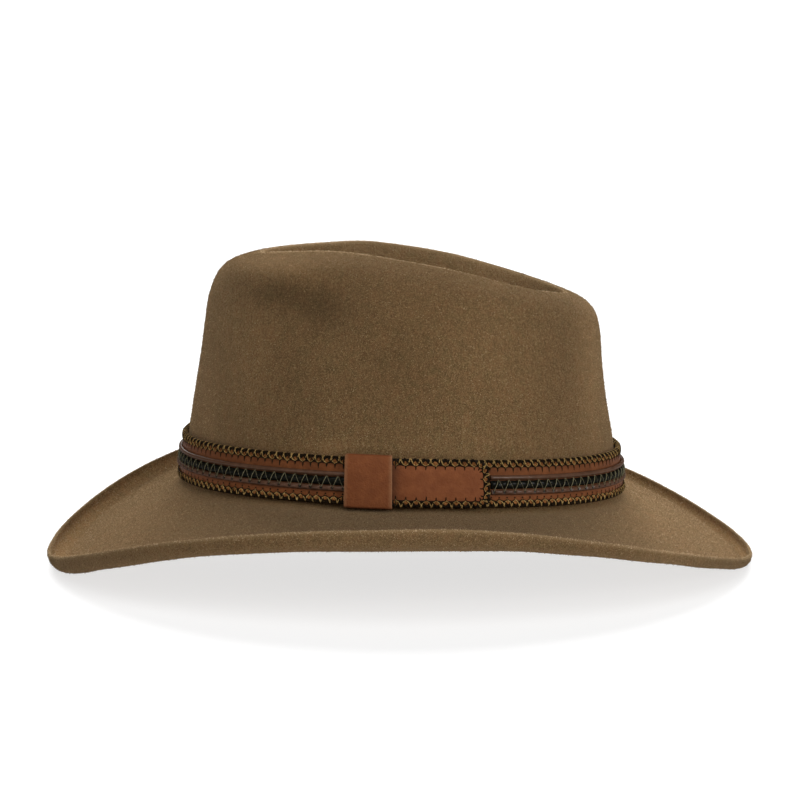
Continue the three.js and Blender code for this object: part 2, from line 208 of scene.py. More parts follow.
# Strips laid along the strap from the tab's free end round to the loop. step is the length of a face,
# dent_width how far the dents of the thread reach, and wave_start where a slight waviness begins.
TRIMS = table(
    "piece node slot centre width proud step dent_width wave wave_start",
    ("piping_upper", "upper_piping", "piping_leather", 16.6, 2.2, 1.4, 0.9, 0.8, 5.3, 0),
    ("black_strip", "centre_cord", "black_leather", 13.25, 3.8, 1.3, 0.55, 0.5, 3.7, 0),
    ("piping_lower", "lower_piping", "piping_leather", 9.8, 2.4, 1.4, 0.55, 0.75, 4.1, 1),
)
UPPER_PIPING, _, LOWER_PIPING = TRIMS
TRIM_START = TAB["end"] + 0.8
TRIM_END = TAB["start"] - 1.2
TRIM_BASE = STRAP["thickness"] + CLEARANCE
TRIM_POINTS = 11
TRIM_ROUNDING = 0.7
TRIM_SUNK = 0.2
TRIM_WAVE = 0.03
UPPER_DENT = 0.06
# Painted light on the strap's leather, as its brightness at the bottom and top edge: the bottom is lifted
# against the shade of the lower piping.
HOLE = {"depth": 0.6, "across": 0.1, "spread": 0.75}
CREASES = {"rising": 0.3, "falling": 0.2}
# Shares of another colour in the painted shadow beside the loop and on the loop's cut edges.

# Stitching
STITCH_PITCH = 3.9
# Depths of a dent, as shares of the height, from where painted shade begins in it to where it is dark.
TAB_STITCH_PITCH = 4.5
# How far the lace stops from the loop on the strap and on the tab.
LACE_STOP = {"strap": 1.0, "tab": 1.5}
# Half the length of edge that gives its direction at a hole.
EDGE_NUDGE = 0.5
# An edge whose inward direction is this near to upright is a straight edge of the tab.
STRAIGHT_EDGE = 0.999
TAB_BACK = TRIM_BASE + 0.15

# Routes of the lace from its hole, over the edge of the leather and to its back.
# inset is measured in from the edge, and rise from the face, or from the back where under is 1.
# lean is the share of the strand's whole lean along the edge, and width the width of the strand there.
GOLD_LEG = table(
    "inset lean rise under width",
    (3.5, -0.1, -0.2, 0, 0.45),
    (3.1, 0.15, 0.25, 0, 0.5),
    (2.2, 0.62, 0.42, 0, 0.5),
    (1.2, 0.85, 0.42, 0, 0.55),
    (0.3, 1.0, 0.25, 0, 0.6),
    (-0.25, 1.1, -0.7, 0, 0.6),
    (0.4, 1.1, -0.2, 1, 0.6),
    (1.3, 1.2, -0.05, 1, 0.5),
)
TAN_PAD = table(
    "inset lean rise under width",
    (3.15, 0.0, -0.15, 0, 1.0),
    (2.8, 0.0, 0.10, 0, 1.9),
    (2.1, 0.1, 0.20, 0, 2.4),
    (1.5, 0.2, 0.16, 0, 2.1),
    (1.1, 0.3, -0.2, 0, 1.2),
)
# How far a leg leans on its way over the edge, in shares of the pitch, and how far it lies above others.
GOLD_LEANS = table("lean lift", (-0.5, 0.0), (0.5, 0.2))
DARK_LEANS = table("lean lift", (-0.95, 0.12), (0.95, 0.3))
# How much single legs and pads differ in lean and lift, and how finely and thick they are made.
LACE = {
    "least_lean": 0.8,
    "most_lean": 1.15,
    "pad_lean": 0.5,
    "lift_spread": 0.06,
    "steps": 3,
    "gold_sides": 6,
    "dark_sides": 4,
    "pad_sides": 10,
    "leg_thickness": 0.4,
    "pad_thickness": 0.55,
}
# Needle marks, partly the dark thread going into the holes and partly painted shade in the needle holes and
# in the gaps at the edge, by how far in from the edge they start, and their route by the share of their
# length.
UPPER_MARKS = table("start length width", (3.5, 2.0, 1.15))
LOWER_MARKS = table("start length width", (3.9, 0.9, 1.25), (0.6, 1.5, 1.0))
MARK_ROUTE = {"share": [0, 0.5, 1], "rise": [0.04, 0.06, -0.08], "width": [0.9, 1.0, 0.5]}
MARK = {"shortest": 0.75, "longest": 1.2, "thickness": 0.5, "sides": 4}
# How far the leather is dark under the lace, partly for dark thread and partly as painted shade, and over
# what distance that ends.
LACED = {"top": 3.3, "bottom": 2.5, "top_fade": 0.3, "bottom_fade": 0.4}
# Cords along the edges of the strap, under the lace. The lower one is dark thread and also stands in for the
# shadow line under the strap's bottom edge.
EDGE_CORDS = table("name height out radius", ("lower", 3.25, 1.45, 0.6), ("upper", 24.3, 1.15, 0.45))
EDGE_CORD_STEPS = {"along": 420, "around": 8}

# The zigzag thread runs from holes in the lower piping up to the upper piping's foot and down again.
# low and high are measured from the middles of the pipings, and spread is how unevenly its feet stand.
ZIGZAG = {"period": 5.2, "low": 0.2, "high": -0.8, "spread": 0.15, "steps": 2, "sides": 5}
ZIGZAG_ROUTE = {
    "share": [0.0, 0.07, 0.2, 0.5, 0.8, 0.93, 1.0],
    "rise": [0.3, 0.85, 0.72, 1.2, 1.0, 0.75, 0.25],
}
# Its legs by the shares of a period that they lean, their lift and their width.
ZIGZAG_LEGS = table("lean lift width", (-0.5, 0.05, 0.34), (0.5, -0.06, 0.2))


def mix(start, end, share):
    return start + (end - start) * share


def unit(vectors):
    return vectors / np.maximum(np.linalg.norm(vectors, axis=-1, keepdims=True), 1e-9)


def bell(values, centre, width):
    """One at the centre, falling softly to nothing beyond the width."""
    return np.exp(-(((values - centre) / width) ** 2))


def smooth_between(before, start, end, after, share):
    """Value on a smooth curve through four values, between the second and the third."""
    a = 2 * start
    b = end - before
    c = 2 * before - 5 * start + 4 * end - after
    d = 3 * start - before - 3 * end + after
    return (a + b * share + c * share**2 + d * share**3) / 2


def round_value(key, turns, power):
    """A brim size round the hat, blended by a power of the cosine."""
    along = np.cos(turns)
    end = np.where(along > 0, BRIM["front"][key], BRIM["back"][key])
    return mix(BRIM["side"][key], end, np.abs(along) ** power)


def oval_points(section, turns):
    along = np.cos(turns)
    reach = np.where(along > 0, section["front"], section["back"])
    lean = (section["z_front"] - section["z_back"]) / 2
    bow = (section["z_front"] + section["z_back"]) / 2 - section["z_side"]
    height = section["z_side"] + lean * along + bow * along**2
    return np.stack([section["side"] * np.sin(turns), -reach * along, height], -1)


def ridge_points(turns):
    """The ridge on both sides of the hat, whose table covers half a turn."""
    last = len(RIDGE["y"]) - 1
    wrapped = np.mod(turns, FULL_TURN)
    side = np.where(wrapped > math.pi, -1.0, 1.0)
    half = np.where(wrapped > math.pi, FULL_TURN - wrapped, wrapped)
    place = half / math.pi * last
    index = np.minimum(place.astype(int), last - 1)
    share = place - index

    def value(key, sign):
        table = np.array(RIDGE[key], float)
        table = np.concatenate([[sign * table[1]], table, [sign * table[-2]]])
        return smooth_between(table[index], table[index + 1], table[index + 2], table[index + 3], share)

    return np.stack([side * value("half", -1), value("y", 1), value("z", 1)], -1)


def dent_floor_height(y):
    ys = np.array(DENT_FLOOR["y"], float)
    zs = np.array(DENT_FLOOR["z"], float)
    clamped = np.clip(y, ys[0], ys[-1])
    index = np.clip(np.searchsorted(ys, clamped) - 1, 0, len(ys) - 2)
    share = (clamped - ys[index]) / (ys[index + 1] - ys[index])
    before = zs[np.maximum(index - 1, 0)]
    after = zs[np.minimum(index + 2, len(zs) - 1)]
    return smooth_between(before, zs[index], zs[index + 1], after, share)


def dent_points(turns, depth):
    """Points of the dent, with depth 0 on the ridge and 1 on the floor."""
    ridge = ridge_points(turns)
    share = (ridge[:, 1] - RIDGE["y"][0]) / (RIDGE["y"][-1] - RIDGE["y"][0])
    floor_y = mix(DENT_FLOOR["y"][0], DENT_FLOOR["y"][-1], share)
    fall = (1 - math.cos(math.pi * depth**DENT_FALL_POWER)) / 2
    x = mix(ridge[:, 0], ridge[:, 0] * CENTRE_OFFSET_IN_RING, depth)
    y = mix(ridge[:, 1], floor_y, depth)
    z = mix(ridge[:, 2], dent_floor_height(floor_y), fall)
    return np.stack([x, y, z], -1)


def pinch_share(points):
    """How much of the finger pinch at the front of the crown reaches each point."""
    along = ((points[..., 1] - PINCH["y"]) / PINCH["length"]) ** 2
    up = ((points[..., 2] - PINCH["z"]) / PINCH["height"]) ** 2
    fade = np.minimum(np.abs(points[..., 0]) / PINCH["fade"], 1)
    return np.exp(-along - up) * fade


def painted_light_and_shade_tone(points):
    """Relative brightness of the felt's painted light and shade at each point."""
    tone = np.zeros(points.shape[:-1])
    for patch in PAINTED_LIGHT_AND_SHADE_PATCHES:
        along = ((points[..., 1] - patch["y"]) / patch["length"]) ** 2
        up = ((points[..., 2] - patch["z"]) / patch["height"]) ** 2
        tone += patch["tone"] * np.exp(-along - up)
    return 1 + tone


def pinched(points):
    moved = points.copy()
    moved[..., 0] -= np.sign(points[..., 0]) * PINCH["depth"] * pinch_share(points)
    return moved


def brim_rows(turns):
    """Rows of the brim from the break out to the tip of the curled edge."""
    root = oval_points(CROWN_SECTIONS[0], turns)
    along = np.cos(turns)
    ahead = along > 0
    reach = np.where(ahead, BRIM["front"]["reach"], BRIM["back"]["reach"])
    dip_power = np.where(ahead, BRIM_DIP_POWER["front"], BRIM_DIP_POWER["back"])
    rim = np.stack([BRIM["side"]["reach"] * np.sin(turns), -reach * along], -1)
    across = rim - root[:, :2]
    width = np.linalg.norm(across, axis=-1)
    outward = across / width[:, None]

    ease = 1 - np.abs(np.sin(turns)) ** CURL_EASE_POWER
    curl_end = np.where(ahead, BRIM["front"]["curl_radius"], BRIM["back"]["curl_radius"])
    radius = mix(BRIM["side"]["curl_radius"], curl_end, ease)
    root_slope = np.radians(round_value("root_slope", turns, 2))
    edge_slope = np.radians(round_value("edge_slope", turns, 2))
    low = round_value("z_low", turns, dip_power)
    edge_run = width - FELT_THICKNESS - radius * (1 + np.sin(edge_slope))
    edge_z = low + radius * (1 - np.cos(edge_slope))
    chord = np.hypot(edge_run, edge_z - root[:, 2])

    def at(run, z):
        return np.concatenate([root[:, :2] + outward * run[:, None], z[:, None]], -1)

    def flat(share):
        a = share**2 * (3 - 2 * share)
        b = share * (1 - share) ** 2 * chord
        c = share**2 * (share - 1) * chord
        run = a * edge_run + b * np.cos(root_slope) + c * np.cos(edge_slope)
        z = mix(root[:, 2], edge_z, a) - b * np.sin(root_slope) - c * np.sin(edge_slope)
        return at(run, z)

    rows = []
    wall_up = unit(oval_points(CROWN_SECTIONS[1], turns) - root)
    fillet_end = BREAK_FILLET / chord
    fillet_top = root + wall_up * BREAK_FILLET
    fillet_foot = flat(fillet_end)
    for i in range(BREAK_STEPS):
        share = i / BREAK_STEPS
        upper = mix(fillet_top, root, share)
        lower = mix(root, fillet_foot, share)
        rows.append(mix(upper, lower, share))
    for i in range(BRIM_STEPS):
        rows.append(flat(mix(fillet_end, 1, i / BRIM_STEPS)))
    turn_up = edge_slope + math.radians(CURL_TURN)
    for i in range(CURL_STEPS + 1):
        heading = -edge_slope + turn_up * i / CURL_STEPS
        run = edge_run + radius * (np.sin(heading) + np.sin(edge_slope))
        rows.append(at(run, low + radius * (1 - np.cos(heading))))
    return rows


def crown_rows(turns):
    """Rows from the floor of the dent over the ridge and down to the top of the band."""
    dent = [dent_points(turns, i / DENT_STEPS) for i in range(DENT_STEPS, 0, -1)]
    wall = [oval_points(section, turns) for section in CROWN_SECTIONS[1:]]
    foot = mix(wall[0], oval_points(CROWN_SECTIONS[0], turns), WALL_HELPER_SHARE)
    ridge = ridge_points(turns)
    route = [foot, *wall, ridge, dent_points(turns, DENT_HELPER_DEPTH)]
    climb = []
    for index in range(1, len(route) - 2):
        for step in range(WALL_STEPS):
            share = step / WALL_STEPS
            climb.append(smooth_between(*route[index - 1 : index + 3], share))
    climb.append(ridge)
    return [*dent, *climb[::-1]]


def smoothed(rows):
    """Rows evened out along the profile, with the first and last rows kept."""
    for _ in range(SMOOTHING_PASSES):
        middle = (rows[:-2] + 2 * rows[1:-1] + rows[2:]) / 4
        rows = np.concatenate([rows[:1], middle, rows[-1:]])
    return rows


def surface_normals(rows):
    """Outward normals of a felt face whose first row surrounds the dent's middle line."""
    mirrored = np.roll(rows[0][::-1], 1, axis=0)
    above = np.concatenate([mirrored[None], rows[:-1]])
    below = np.concatenate([rows[1:], rows[-1:]])
    around = np.roll(rows, -1, axis=1) - np.roll(rows, 1, axis=1)
    normals = -unit(np.cross(around, below - above))
    middle = rows.shape[1] // 2
    normals[0, [0, middle]] = (0, 0, 1)
    return normals


def wavy(rows, normals):
    moved = rows.copy()
    for wave in FELT_WAVES:
        direction = unit(np.array([wave["x"], wave["y"], wave["z"]], float))
        phase = rows @ direction / wave["length"] * FULL_TURN + wave["start"]
        moved += normals * (wave["height"] * np.sin(phase))[..., None]
    return moved


def grid_faces(rows, columns, closed_rows=False):
    """Quads of rows that each close round on themselves."""
    faces = []
    for row in range(rows if closed_rows else rows - 1):
        here = row * columns
        there = (row + 1) % rows * columns
        for i in range(columns):
            after = (i + 1) % columns
            faces.append((here + i, there + i, there + after, here + after))
    return faces


def cap_faces(offset, count, flip):
    """Strip of quads across a ring of an even number of points."""
    half = count // 2
    faces = [(offset, offset + 1, offset + count - 1)]
    for i in range(1, half - 1):
        faces.append((offset + i, offset + i + 1, offset + count - i - 1, offset + count - i))
    faces.append((offset + half - 1, offset + half, offset + half + 1))
    return [face[::-1] for face in faces] if flip else faces


def tube_faces(rows, columns):
    """Rings joined in a row, with both ends closed."""
    faces = grid_faces(rows, columns)
    faces += cap_faces(0, columns, False)
    return faces + cap_faces((rows - 1) * columns, columns, True)


def mesh_piece(name, vertices, faces, material, slot, replaces=(), attributes=None):
    """A smooth mesh from points in millimetres, with its body and replaced nodes. slot is not used."""
    mesh = bpy.data.meshes.new(name)
    mesh.from_pydata((np.reshape(vertices, (-1, 3)) * MM).tolist(), [], faces)
    mesh.polygons.foreach_set("use_smooth", [True] * len(mesh.polygons))
    for key, values in (attributes or {}).items():
        layer = mesh.attributes.new(key, "FLOAT", "POINT")
        layer.data.foreach_set("value", np.ravel(values).astype(np.float32))
    mesh.materials.append(material)
    mesh.update()
    piece = bpy.data.objects.new(name, mesh)
    bpy.context.scene.collection.objects.link(piece)
    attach(piece, "root")
    if replaces:
        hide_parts(*replaces)
    return piece


def fibre_shares(rings, span, worn):
    """The share of the fibres that each cell of a span holds, with none under the band, and its sides."""
    foot = oval_points(CROWN_SECTIONS[0], FELT_TURNS)
    corner = rings[span[0] : span[1]]
    down = rings[span[0] + 1 : span[1] + 1] - corner
    around = np.roll(corner, -1, axis=1) - corner
    area = np.linalg.norm(np.cross(down, around), axis=-1)
    out = np.linalg.norm(corner[..., :2], axis=-1) - np.linalg.norm(foot[:, :2], axis=-1)
    covered = (out < FIBRE_FREE["out"]) & (corner[..., 2] - foot[:, 2] < FIBRE_FREE["top"])
    share = np.where(covered, 0, area * (1 + FIBRE["extra"] * worn)).ravel()
    return share / share.sum(), down, around


def wool_fibres(rings, span, wear, count, rng):
    """Pointed fibres that stand on the rings of a span, more and lighter where the felt is worn and a
    highlight is painted.
    """
    worn = np.repeat(wear[span[0] : span[1], None], FELT_SECTORS, 1)
    share, down, around = fibre_shares(rings, span, worn)
    chosen = rng.choice(share.size, count, p=share)
    cells = (surface_normals(rings)[span[0] : span[1]], rings[span[0] : span[1]], down, around)
    normal, corner, down, around = (values.reshape(-1, 3)[chosen] for values in cells)
    root = corner + rng.random((count, 1)) * down
    root = root + rng.random((count, 1)) * around - normal * FIBRE["sunk"]
    sideways = rng.normal(size=(count, 3))
    sideways = unit(sideways - normal * np.sum(sideways * normal, axis=1)[:, None])
    heading = unit(normal + sideways * (FIBRE["least_tilt"] + FIBRE["tilt"] * rng.random((count, 1))))
    tip = root + heading * rng.uniform(FIBRE["shortest"], FIBRE["longest"], (count, 1))
    side = unit(np.cross(heading, rng.normal(size=(count, 3))))
    third = np.cross(heading, side)
    corners = []
    for index in range(FIBRE_SIDES):
        angle = FULL_TURN * index / FIBRE_SIDES
        corners.append(root + (side * math.cos(angle) + third * math.sin(angle)) * FIBRE["width"] / 2)
    vertices = np.stack([*corners, tip], 1)
    vertices[..., 2] = np.maximum(vertices[..., 2], 0)
    first = np.arange(count)[:, None, None] * vertices.shape[1]
    faces = (first + np.array(FIBRE_FACES)[None]).reshape(-1, 3)
    tones = rng.random(count) + worn.ravel()[chosen]
    return vertices, faces.tolist(), tones, chosen


def fibre_piece(name, rings, span, wear, nap, materials, rng):
    """Fibres of plain tones, as many materials as there are tones."""
    vertices, faces, tones, cells = wool_fibres(rings, span, wear, FIBRE_COUNTS[name], rng)
    # Each fibre's tone also carries the felt's painted light and shade where it stands.
    slots = fibre_slots(tones, nap[span[0] : span[1]].ravel()[cells])
    fibres = mesh_piece(f"felt_fibres_{name}", vertices, faces, materials[0], "felt")
    for material in materials[1:]:
        fibres.data.materials.append(material)
    fibres.data.polygons.foreach_set("material_index", np.repeat(slots, len(FIBRE_FACES)).astype(np.int32))


def rolled_edge(rows, inner):
    """Rings round the brim's cut edge, from its outer face to its inner one."""
    centre = (rows[-1] + inner[-1]) / 2
    side = (rows[-1] - inner[-1]) / 2
    tip = unit(rows[-1] - rows[-2]) * FELT_THICKNESS / 2
    edge = []
    for i in range(1, EDGE_STEPS):
        angle = math.pi * i / EDGE_STEPS
        edge.append(centre + side * math.cos(angle) + tip * math.sin(angle))
    return np.array(edge)


def felt_piece(material, fibre_tones):
    crown = smoothed(np.array(crown_rows(FELT_TURNS)))
    rows = pinched(np.concatenate([crown, np.array(brim_rows(FELT_TURNS))]))
    rows = wavy(rows, surface_normals(rows))
    inner = rows - surface_normals(rows) * FELT_THICKNESS
    inner[..., 2] = np.maximum(inner[..., 2], 0)
    rings = np.concatenate([rows, rolled_edge(rows, inner), inner[::-1]])

    foot, tip = len(crown), len(rows)
    profile = np.arange(len(rings))
    edge_row = tip + EDGE_STEPS / 2
    # Worn felt on the ridge and the brim's edge: partly real wear, partly a painted highlight.
    wear = bell(profile, DENT_STEPS, WEAR_AND_HIGHLIGHT_ROWS["ridge"])
    wear = np.maximum(wear, bell(profile, edge_row, WEAR_AND_HIGHLIGHT_ROWS["edge"]))
    # Painted light inside the curl, painted shade on its outside, and painted light and shade in patches and
    # over the brim.
    curl_painted_light = bell(profile, tip - CURL_STEPS * CURL_PAINTED_LIGHT["share"], CURL_PAINTED_LIGHT["rows"]) * (profile < tip)
    outside = bell(profile, tip + EDGE_STEPS, CURL_PAINTED_SHADE["rows"]) * (profile >= edge_row)
    ends = (rings[..., 1] / CURL_PAINTED_SHADE["reach"]) ** 2
    nap = painted_light_and_shade_tone(rings) + CURL_PAINTED_LIGHT["tone"] * curl_painted_light[:, None] + CURL_PAINTED_SHADE["tone"] * outside[:, None] * ends
    nap[foot:tip] += mix(BRIM_PAINTED_LIGHT_AND_SHADE["side"], BRIM_PAINTED_LIGHT_AND_SHADE["end"], ends[foot:tip])

    rng = np.random.default_rng(FIBRE_SEED)
    fibre_piece("crown", rings, (0, foot - 1), wear, nap, fibre_tones, rng)
    fibre_piece("brim", rings, (foot, tip + EDGE_STEPS + CURL_STEPS), wear, nap, fibre_tones, rng)
    attributes = {"wear": np.repeat(wear, FELT_SECTORS), "nap": nap}
    faces = tube_faces(len(rings), FELT_SECTORS)
    mesh_piece("felt_hat", rings, faces, material, "felt", ["felt_body"], attributes)


# Band
def wall_frame(turns):
    foot = oval_points(CROWN_SECTIONS[0], turns)
    up = unit(oval_points(CROWN_SECTIONS[1], turns) - foot)
    return foot, up


def wall_points(turns):
    foot, up = wall_frame(turns)
    return foot + up * (STRAP["bottom"] + STRAP["height"] / 2)


BAND_TURNS = math.pi / 2 + np.arange(BAND_SAMPLES + 1) * FULL_TURN / BAND_SAMPLES
BAND_STEPS = np.linalg.norm(np.diff(wall_points(BAND_TURNS), axis=0), axis=1)
BAND_DISTANCES = np.concatenate([[0.0], np.cumsum(BAND_STEPS)])
BAND_LENGTH = BAND_DISTANCES[-1]


def standoff(distance):
    """The strap stands further off the felt where the loop passes behind it."""
    wrapped = np.where(distance > BAND_LENGTH / 2, distance - BAND_LENGTH, distance)
    beyond = np.maximum(np.abs(wrapped - LOOP["centre"]) - LOOP["width"] / 2 - LOOP["margin"], 0)
    share = np.maximum(1 - beyond / LOOP["fade"], 0)
    swell = share**2 * (3 - 2 * share)
    return STRAP["standoff"] + (LOOP["thickness"] + CLEARANCE) * swell


def band_turns(distance):
    return np.interp(np.mod(distance, BAND_LENGTH), BAND_DISTANCES, BAND_TURNS)


def front_drop(distance):
    """The band sits a little lower round the front."""
    return STRAP["front_drop"] * (1 + np.cos(band_turns(distance))) / 2


def band_frame(distance):
    turns = band_turns(distance)
    foot, up = wall_frame(turns)
    around = unit(wall_points(turns + TURN_NUDGE) - wall_points(turns - TURN_NUDGE))
    return foot, up, around, unit(np.cross(around, up))


def band_points(distance, height, out):
    """Points by place along the band, height up the wall and distance out from the strap's inner face."""
    distance, height, out = np.broadcast_arrays(
        np.asarray(distance, float), np.asarray(height, float), np.asarray(out, float)
    )
    foot, up, _, outward = band_frame(distance)
    lowered = height - front_drop(distance)
    return foot + up * lowered[..., None] + outward * (standoff(distance) + out)[..., None]


def rounded(distance_to_edge, radius):
    """How far a rounded edge has dropped, at a distance in from the edge."""
    inside = np.clip(radius - distance_to_edge, 0, radius)
    return radius - np.sqrt(np.maximum(radius**2 - inside**2, 0))


def eased(count):
    """Shares from 0 to 1 that lie closer together towards both ends."""
    return (1 - np.cos(np.pi * np.arange(count + 1) / count)) / 2


def leather_rise(from_edge, face):
    """Rise of a face of leather over its flat thickness, by the distance in from its edge."""
    pressed = face["pressed"] * bell(from_edge, face["line"], face["line_width"])
    puffed = face["puffed"] * bell(from_edge, face["swell"], face["swell_width"])
    return puffed - pressed - rounded(from_edge, face["radius"])


def strap_piece(material):
    heights = STRAP["bottom"] + STRAP["height"] * eased(STRAP_STEPS["across"])
    from_edge = np.minimum(heights - STRAP["bottom"], STRAP_TOP - heights)
    front = STRAP["thickness"] + leather_rise(from_edge, STRAP_FACE)
    back = rounded(from_edge, STRAP_FACE["radius"])
    section_height = np.concatenate([heights, heights[::-1]])
    section_out = np.concatenate([front, back[::-1]])
    count = STRAP_STEPS["along"]
    places = np.arange(count) * BAND_LENGTH / count
    points = band_points(places[:, None], section_height[None], section_out[None])
    faces = grid_faces(count, len(section_height), closed_rows=True)
    attributes = {"height": np.tile(section_height, count)}
    mesh_piece("strap", points, faces, material, "strap_leather", ["hat_band"], attributes)


def pulse(places, width):
    """One at each multiple of the zigzag's period, falling to nothing within the width."""
    period = ZIGZAG["period"]
    return bell(np.mod(places + period / 2, period) - period / 2, 0, width)


def upper_dents(places, across, width):
    """Shallow dents where the thread turns under the upper piping."""
    return UPPER_DENT * pulse(places, width) + 0 * across


def thread_creases(places, across, width):
    """Slanted creases under both legs of the thread."""
    slant = (across - 1) * ZIGZAG["period"] / 4
    rising = CREASES["rising"] * pulse(places - slant, width)
    return rising + CREASES["falling"] * pulse(places + slant, width)


def thread_holes(places, across, width):
    """Deep dimples where the thread goes through the lower piping."""
    hole = pulse(places + ZIGZAG["period"] / 2, width) * bell(across, HOLE["across"], HOLE["spread"])
    return HOLE["depth"] * hole


def trim_piece(trim, dents, material):
    """A raised strip along the strap's face, with dents(places, across, width) as shares of its height."""
    count = int((BAND_LENGTH + TRIM_END - TRIM_START) / trim["step"])
    places = np.linspace(TRIM_START, BAND_LENGTH + TRIM_END, count)
    angle = np.linspace(0, math.pi, TRIM_POINTS)
    across = -np.cos(angle)
    heights = trim["centre"] + trim["width"] / 2 * across
    wave = TRIM_WAVE * np.sin(places / trim["wave"] + trim["wave_start"])
    fullness = 1 - dents(places[:, None], across[None], trim["dent_width"]) + wave[:, None]
    out = TRIM_BASE + trim["proud"] * np.sin(angle) ** TRIM_ROUNDING * fullness
    section_height = np.concatenate([heights, heights[-2:0:-1]])
    base = np.full((count, TRIM_POINTS - 2), TRIM_BASE - TRIM_SUNK)
    points = band_points(places[:, None], section_height[None], np.concatenate([out, base], 1))
    faces = tube_faces(count, len(section_height))
    # pit is how deep a point lies in the thread's dents, where the material paints shade.
    pit = np.concatenate([1 - fullness, np.zeros(base.shape)], 1)
    mesh_piece(trim["piece"], points, faces, material, trim["slot"], [trim["node"]], {"pit": pit})


def tab_edge_distance(distance, height):
    """Distance inside the tab's outline, which has rounded corners at its free end."""
    middle = (TAB_BOTTOM + TAB_TOP) / 2
    half = (TAB_TOP - TAB_BOTTOM) / 2
    corner = TAB["corner"]
    dx = distance - (TAB["end"] - corner)
    dy = np.abs(height - middle) - (half - corner)
    outside = np.hypot(np.maximum(dx, 0), np.maximum(dy, 0))
    inside = np.minimum(np.maximum(dx, dy), 0)
    return corner - outside - inside


def tab_piece(material):
    share = np.sin(math.pi / 2 * np.arange(TAB_STEPS["along"] + 1) / TAB_STEPS["along"])
    places = mix(TAB["start"], TAB["end"], share)
    inset = rounded(TAB["end"] - places, TAB["corner"])
    low = TAB_BOTTOM + inset
    high = TAB_TOP - inset
    heights = mix(low[:, None], high[:, None], eased(TAB_STEPS["across"])[None])
    from_edge = tab_edge_distance(places[:, None], heights)
    front = TRIM_BASE + TAB["thickness"] + leather_rise(from_edge, TAB_FACE)
    back = TRIM_BASE + rounded(from_edge, TAB_FACE["radius"])
    section_height = np.concatenate([heights, heights[:, ::-1]], 1)
    section_out = np.concatenate([front, back[:, ::-1]], 1)
    points = band_points(places[:, None], section_height, section_out)
    faces = tube_faces(*section_height.shape)
    # A painted shadow on the tab where it comes out from under the loop.
    loop_side = LOOP["centre"] + LOOP["width"] / 2
    shade = np.repeat(bell(places, loop_side, TAB["painted_shadow_reach"]), section_height.shape[1])
    attributes = {"from_edge": np.concatenate([from_edge, from_edge[:, ::-1]], 1), "shade": shade}
    mesh_piece("tab", points, faces, material, "tab_leather", ["band_tab"], attributes)


def loop_profile():
    """The loop's section along the band, by place from its middle and spread over its inner face."""
    width = LOOP["width"] / 2
    cut = LOOP["thickness"] / 2
    along, end = LOOP_STEPS["along"], LOOP_STEPS["end"]
    profile = []
    for sign, spread in ((1, LOOP["thickness"]), (-1, 0.0)):
        for i in range(along + 1):
            profile.append((sign * mix(cut - width, width - cut, i / along), spread))
        for i in range(1, end):
            angle = math.pi / 2 - math.pi * i / end
            offset = width - cut + cut * math.cos(angle)
            profile.append((sign * offset, cut + sign * cut * math.sin(angle)))
    return profile


def loop_outline(spread):
    """The box round the strap and tab that the loop makes, by height and place out, and its half sizes."""
    bottom = TAB_BOTTOM - LOOP["slack"] - spread
    top = TAB_TOP + LOOP["slack"] + spread
    back = -CLEARANCE - spread
    front = STRAP["thickness"] + TAB["thickness"] + 2 * CLEARANCE + spread
    radius = LOOP["corner"] * mix(LOOP["inner_corner"], 1, spread / LOOP["thickness"])
    middle = np.array([(bottom + top) / 2, (back + front) / 2])
    half = np.array([(top - bottom) / 2, (front - back) / 2])
    centres = [middle + (half - radius) * corner for corner in LOOP_CORNERS]
    outline = []
    for quarter, centre in enumerate(centres):
        for i in range(LOOP_STEPS["corner"] + 1):
            angle = math.pi - math.pi / 2 * (quarter + i / LOOP_STEPS["corner"])
            reach = radius * np.array([math.cos(angle), math.sin(angle)])
            outline.append(centre + reach)
        for i in range(1, LOOP_STEPS["side"]):
            side = mix(centre, centres[(quarter + 1) % len(centres)], i / LOOP_STEPS["side"])
            outline.append(side + reach)
    return np.array(outline), middle, half


def loop_piece(material):
    """A sleeve of leather round the strap and tab, with rounded corners and cut ends."""
    width = LOOP["width"] / 2
    rings = []
    edge = []
    for offset, spread in loop_profile():
        outline, middle, half = loop_outline(spread)
        across = (outline[:, 0] - middle[0]) / half[0]
        bulge = LOOP["bulge"] * np.clip(1 - across**2, 0, 1) * (outline[:, 1] > middle[1])
        bulge = bulge * (1 - LOOP["end_flattening"] * (offset / width) ** 2)
        rings.append(band_points(LOOP["centre"] + offset, outline[:, 0], outline[:, 1] + bulge))
        edge.append(np.full(len(outline), max(0.0, 1 - (width - abs(offset)) / LOOP["cut_edge"])))
    faces = grid_faces(len(rings), len(rings[0]), closed_rows=True)
    mesh_piece("loop", rings, faces, material, "loop_leather", ["band_loop"], {"cut_edge": edge})


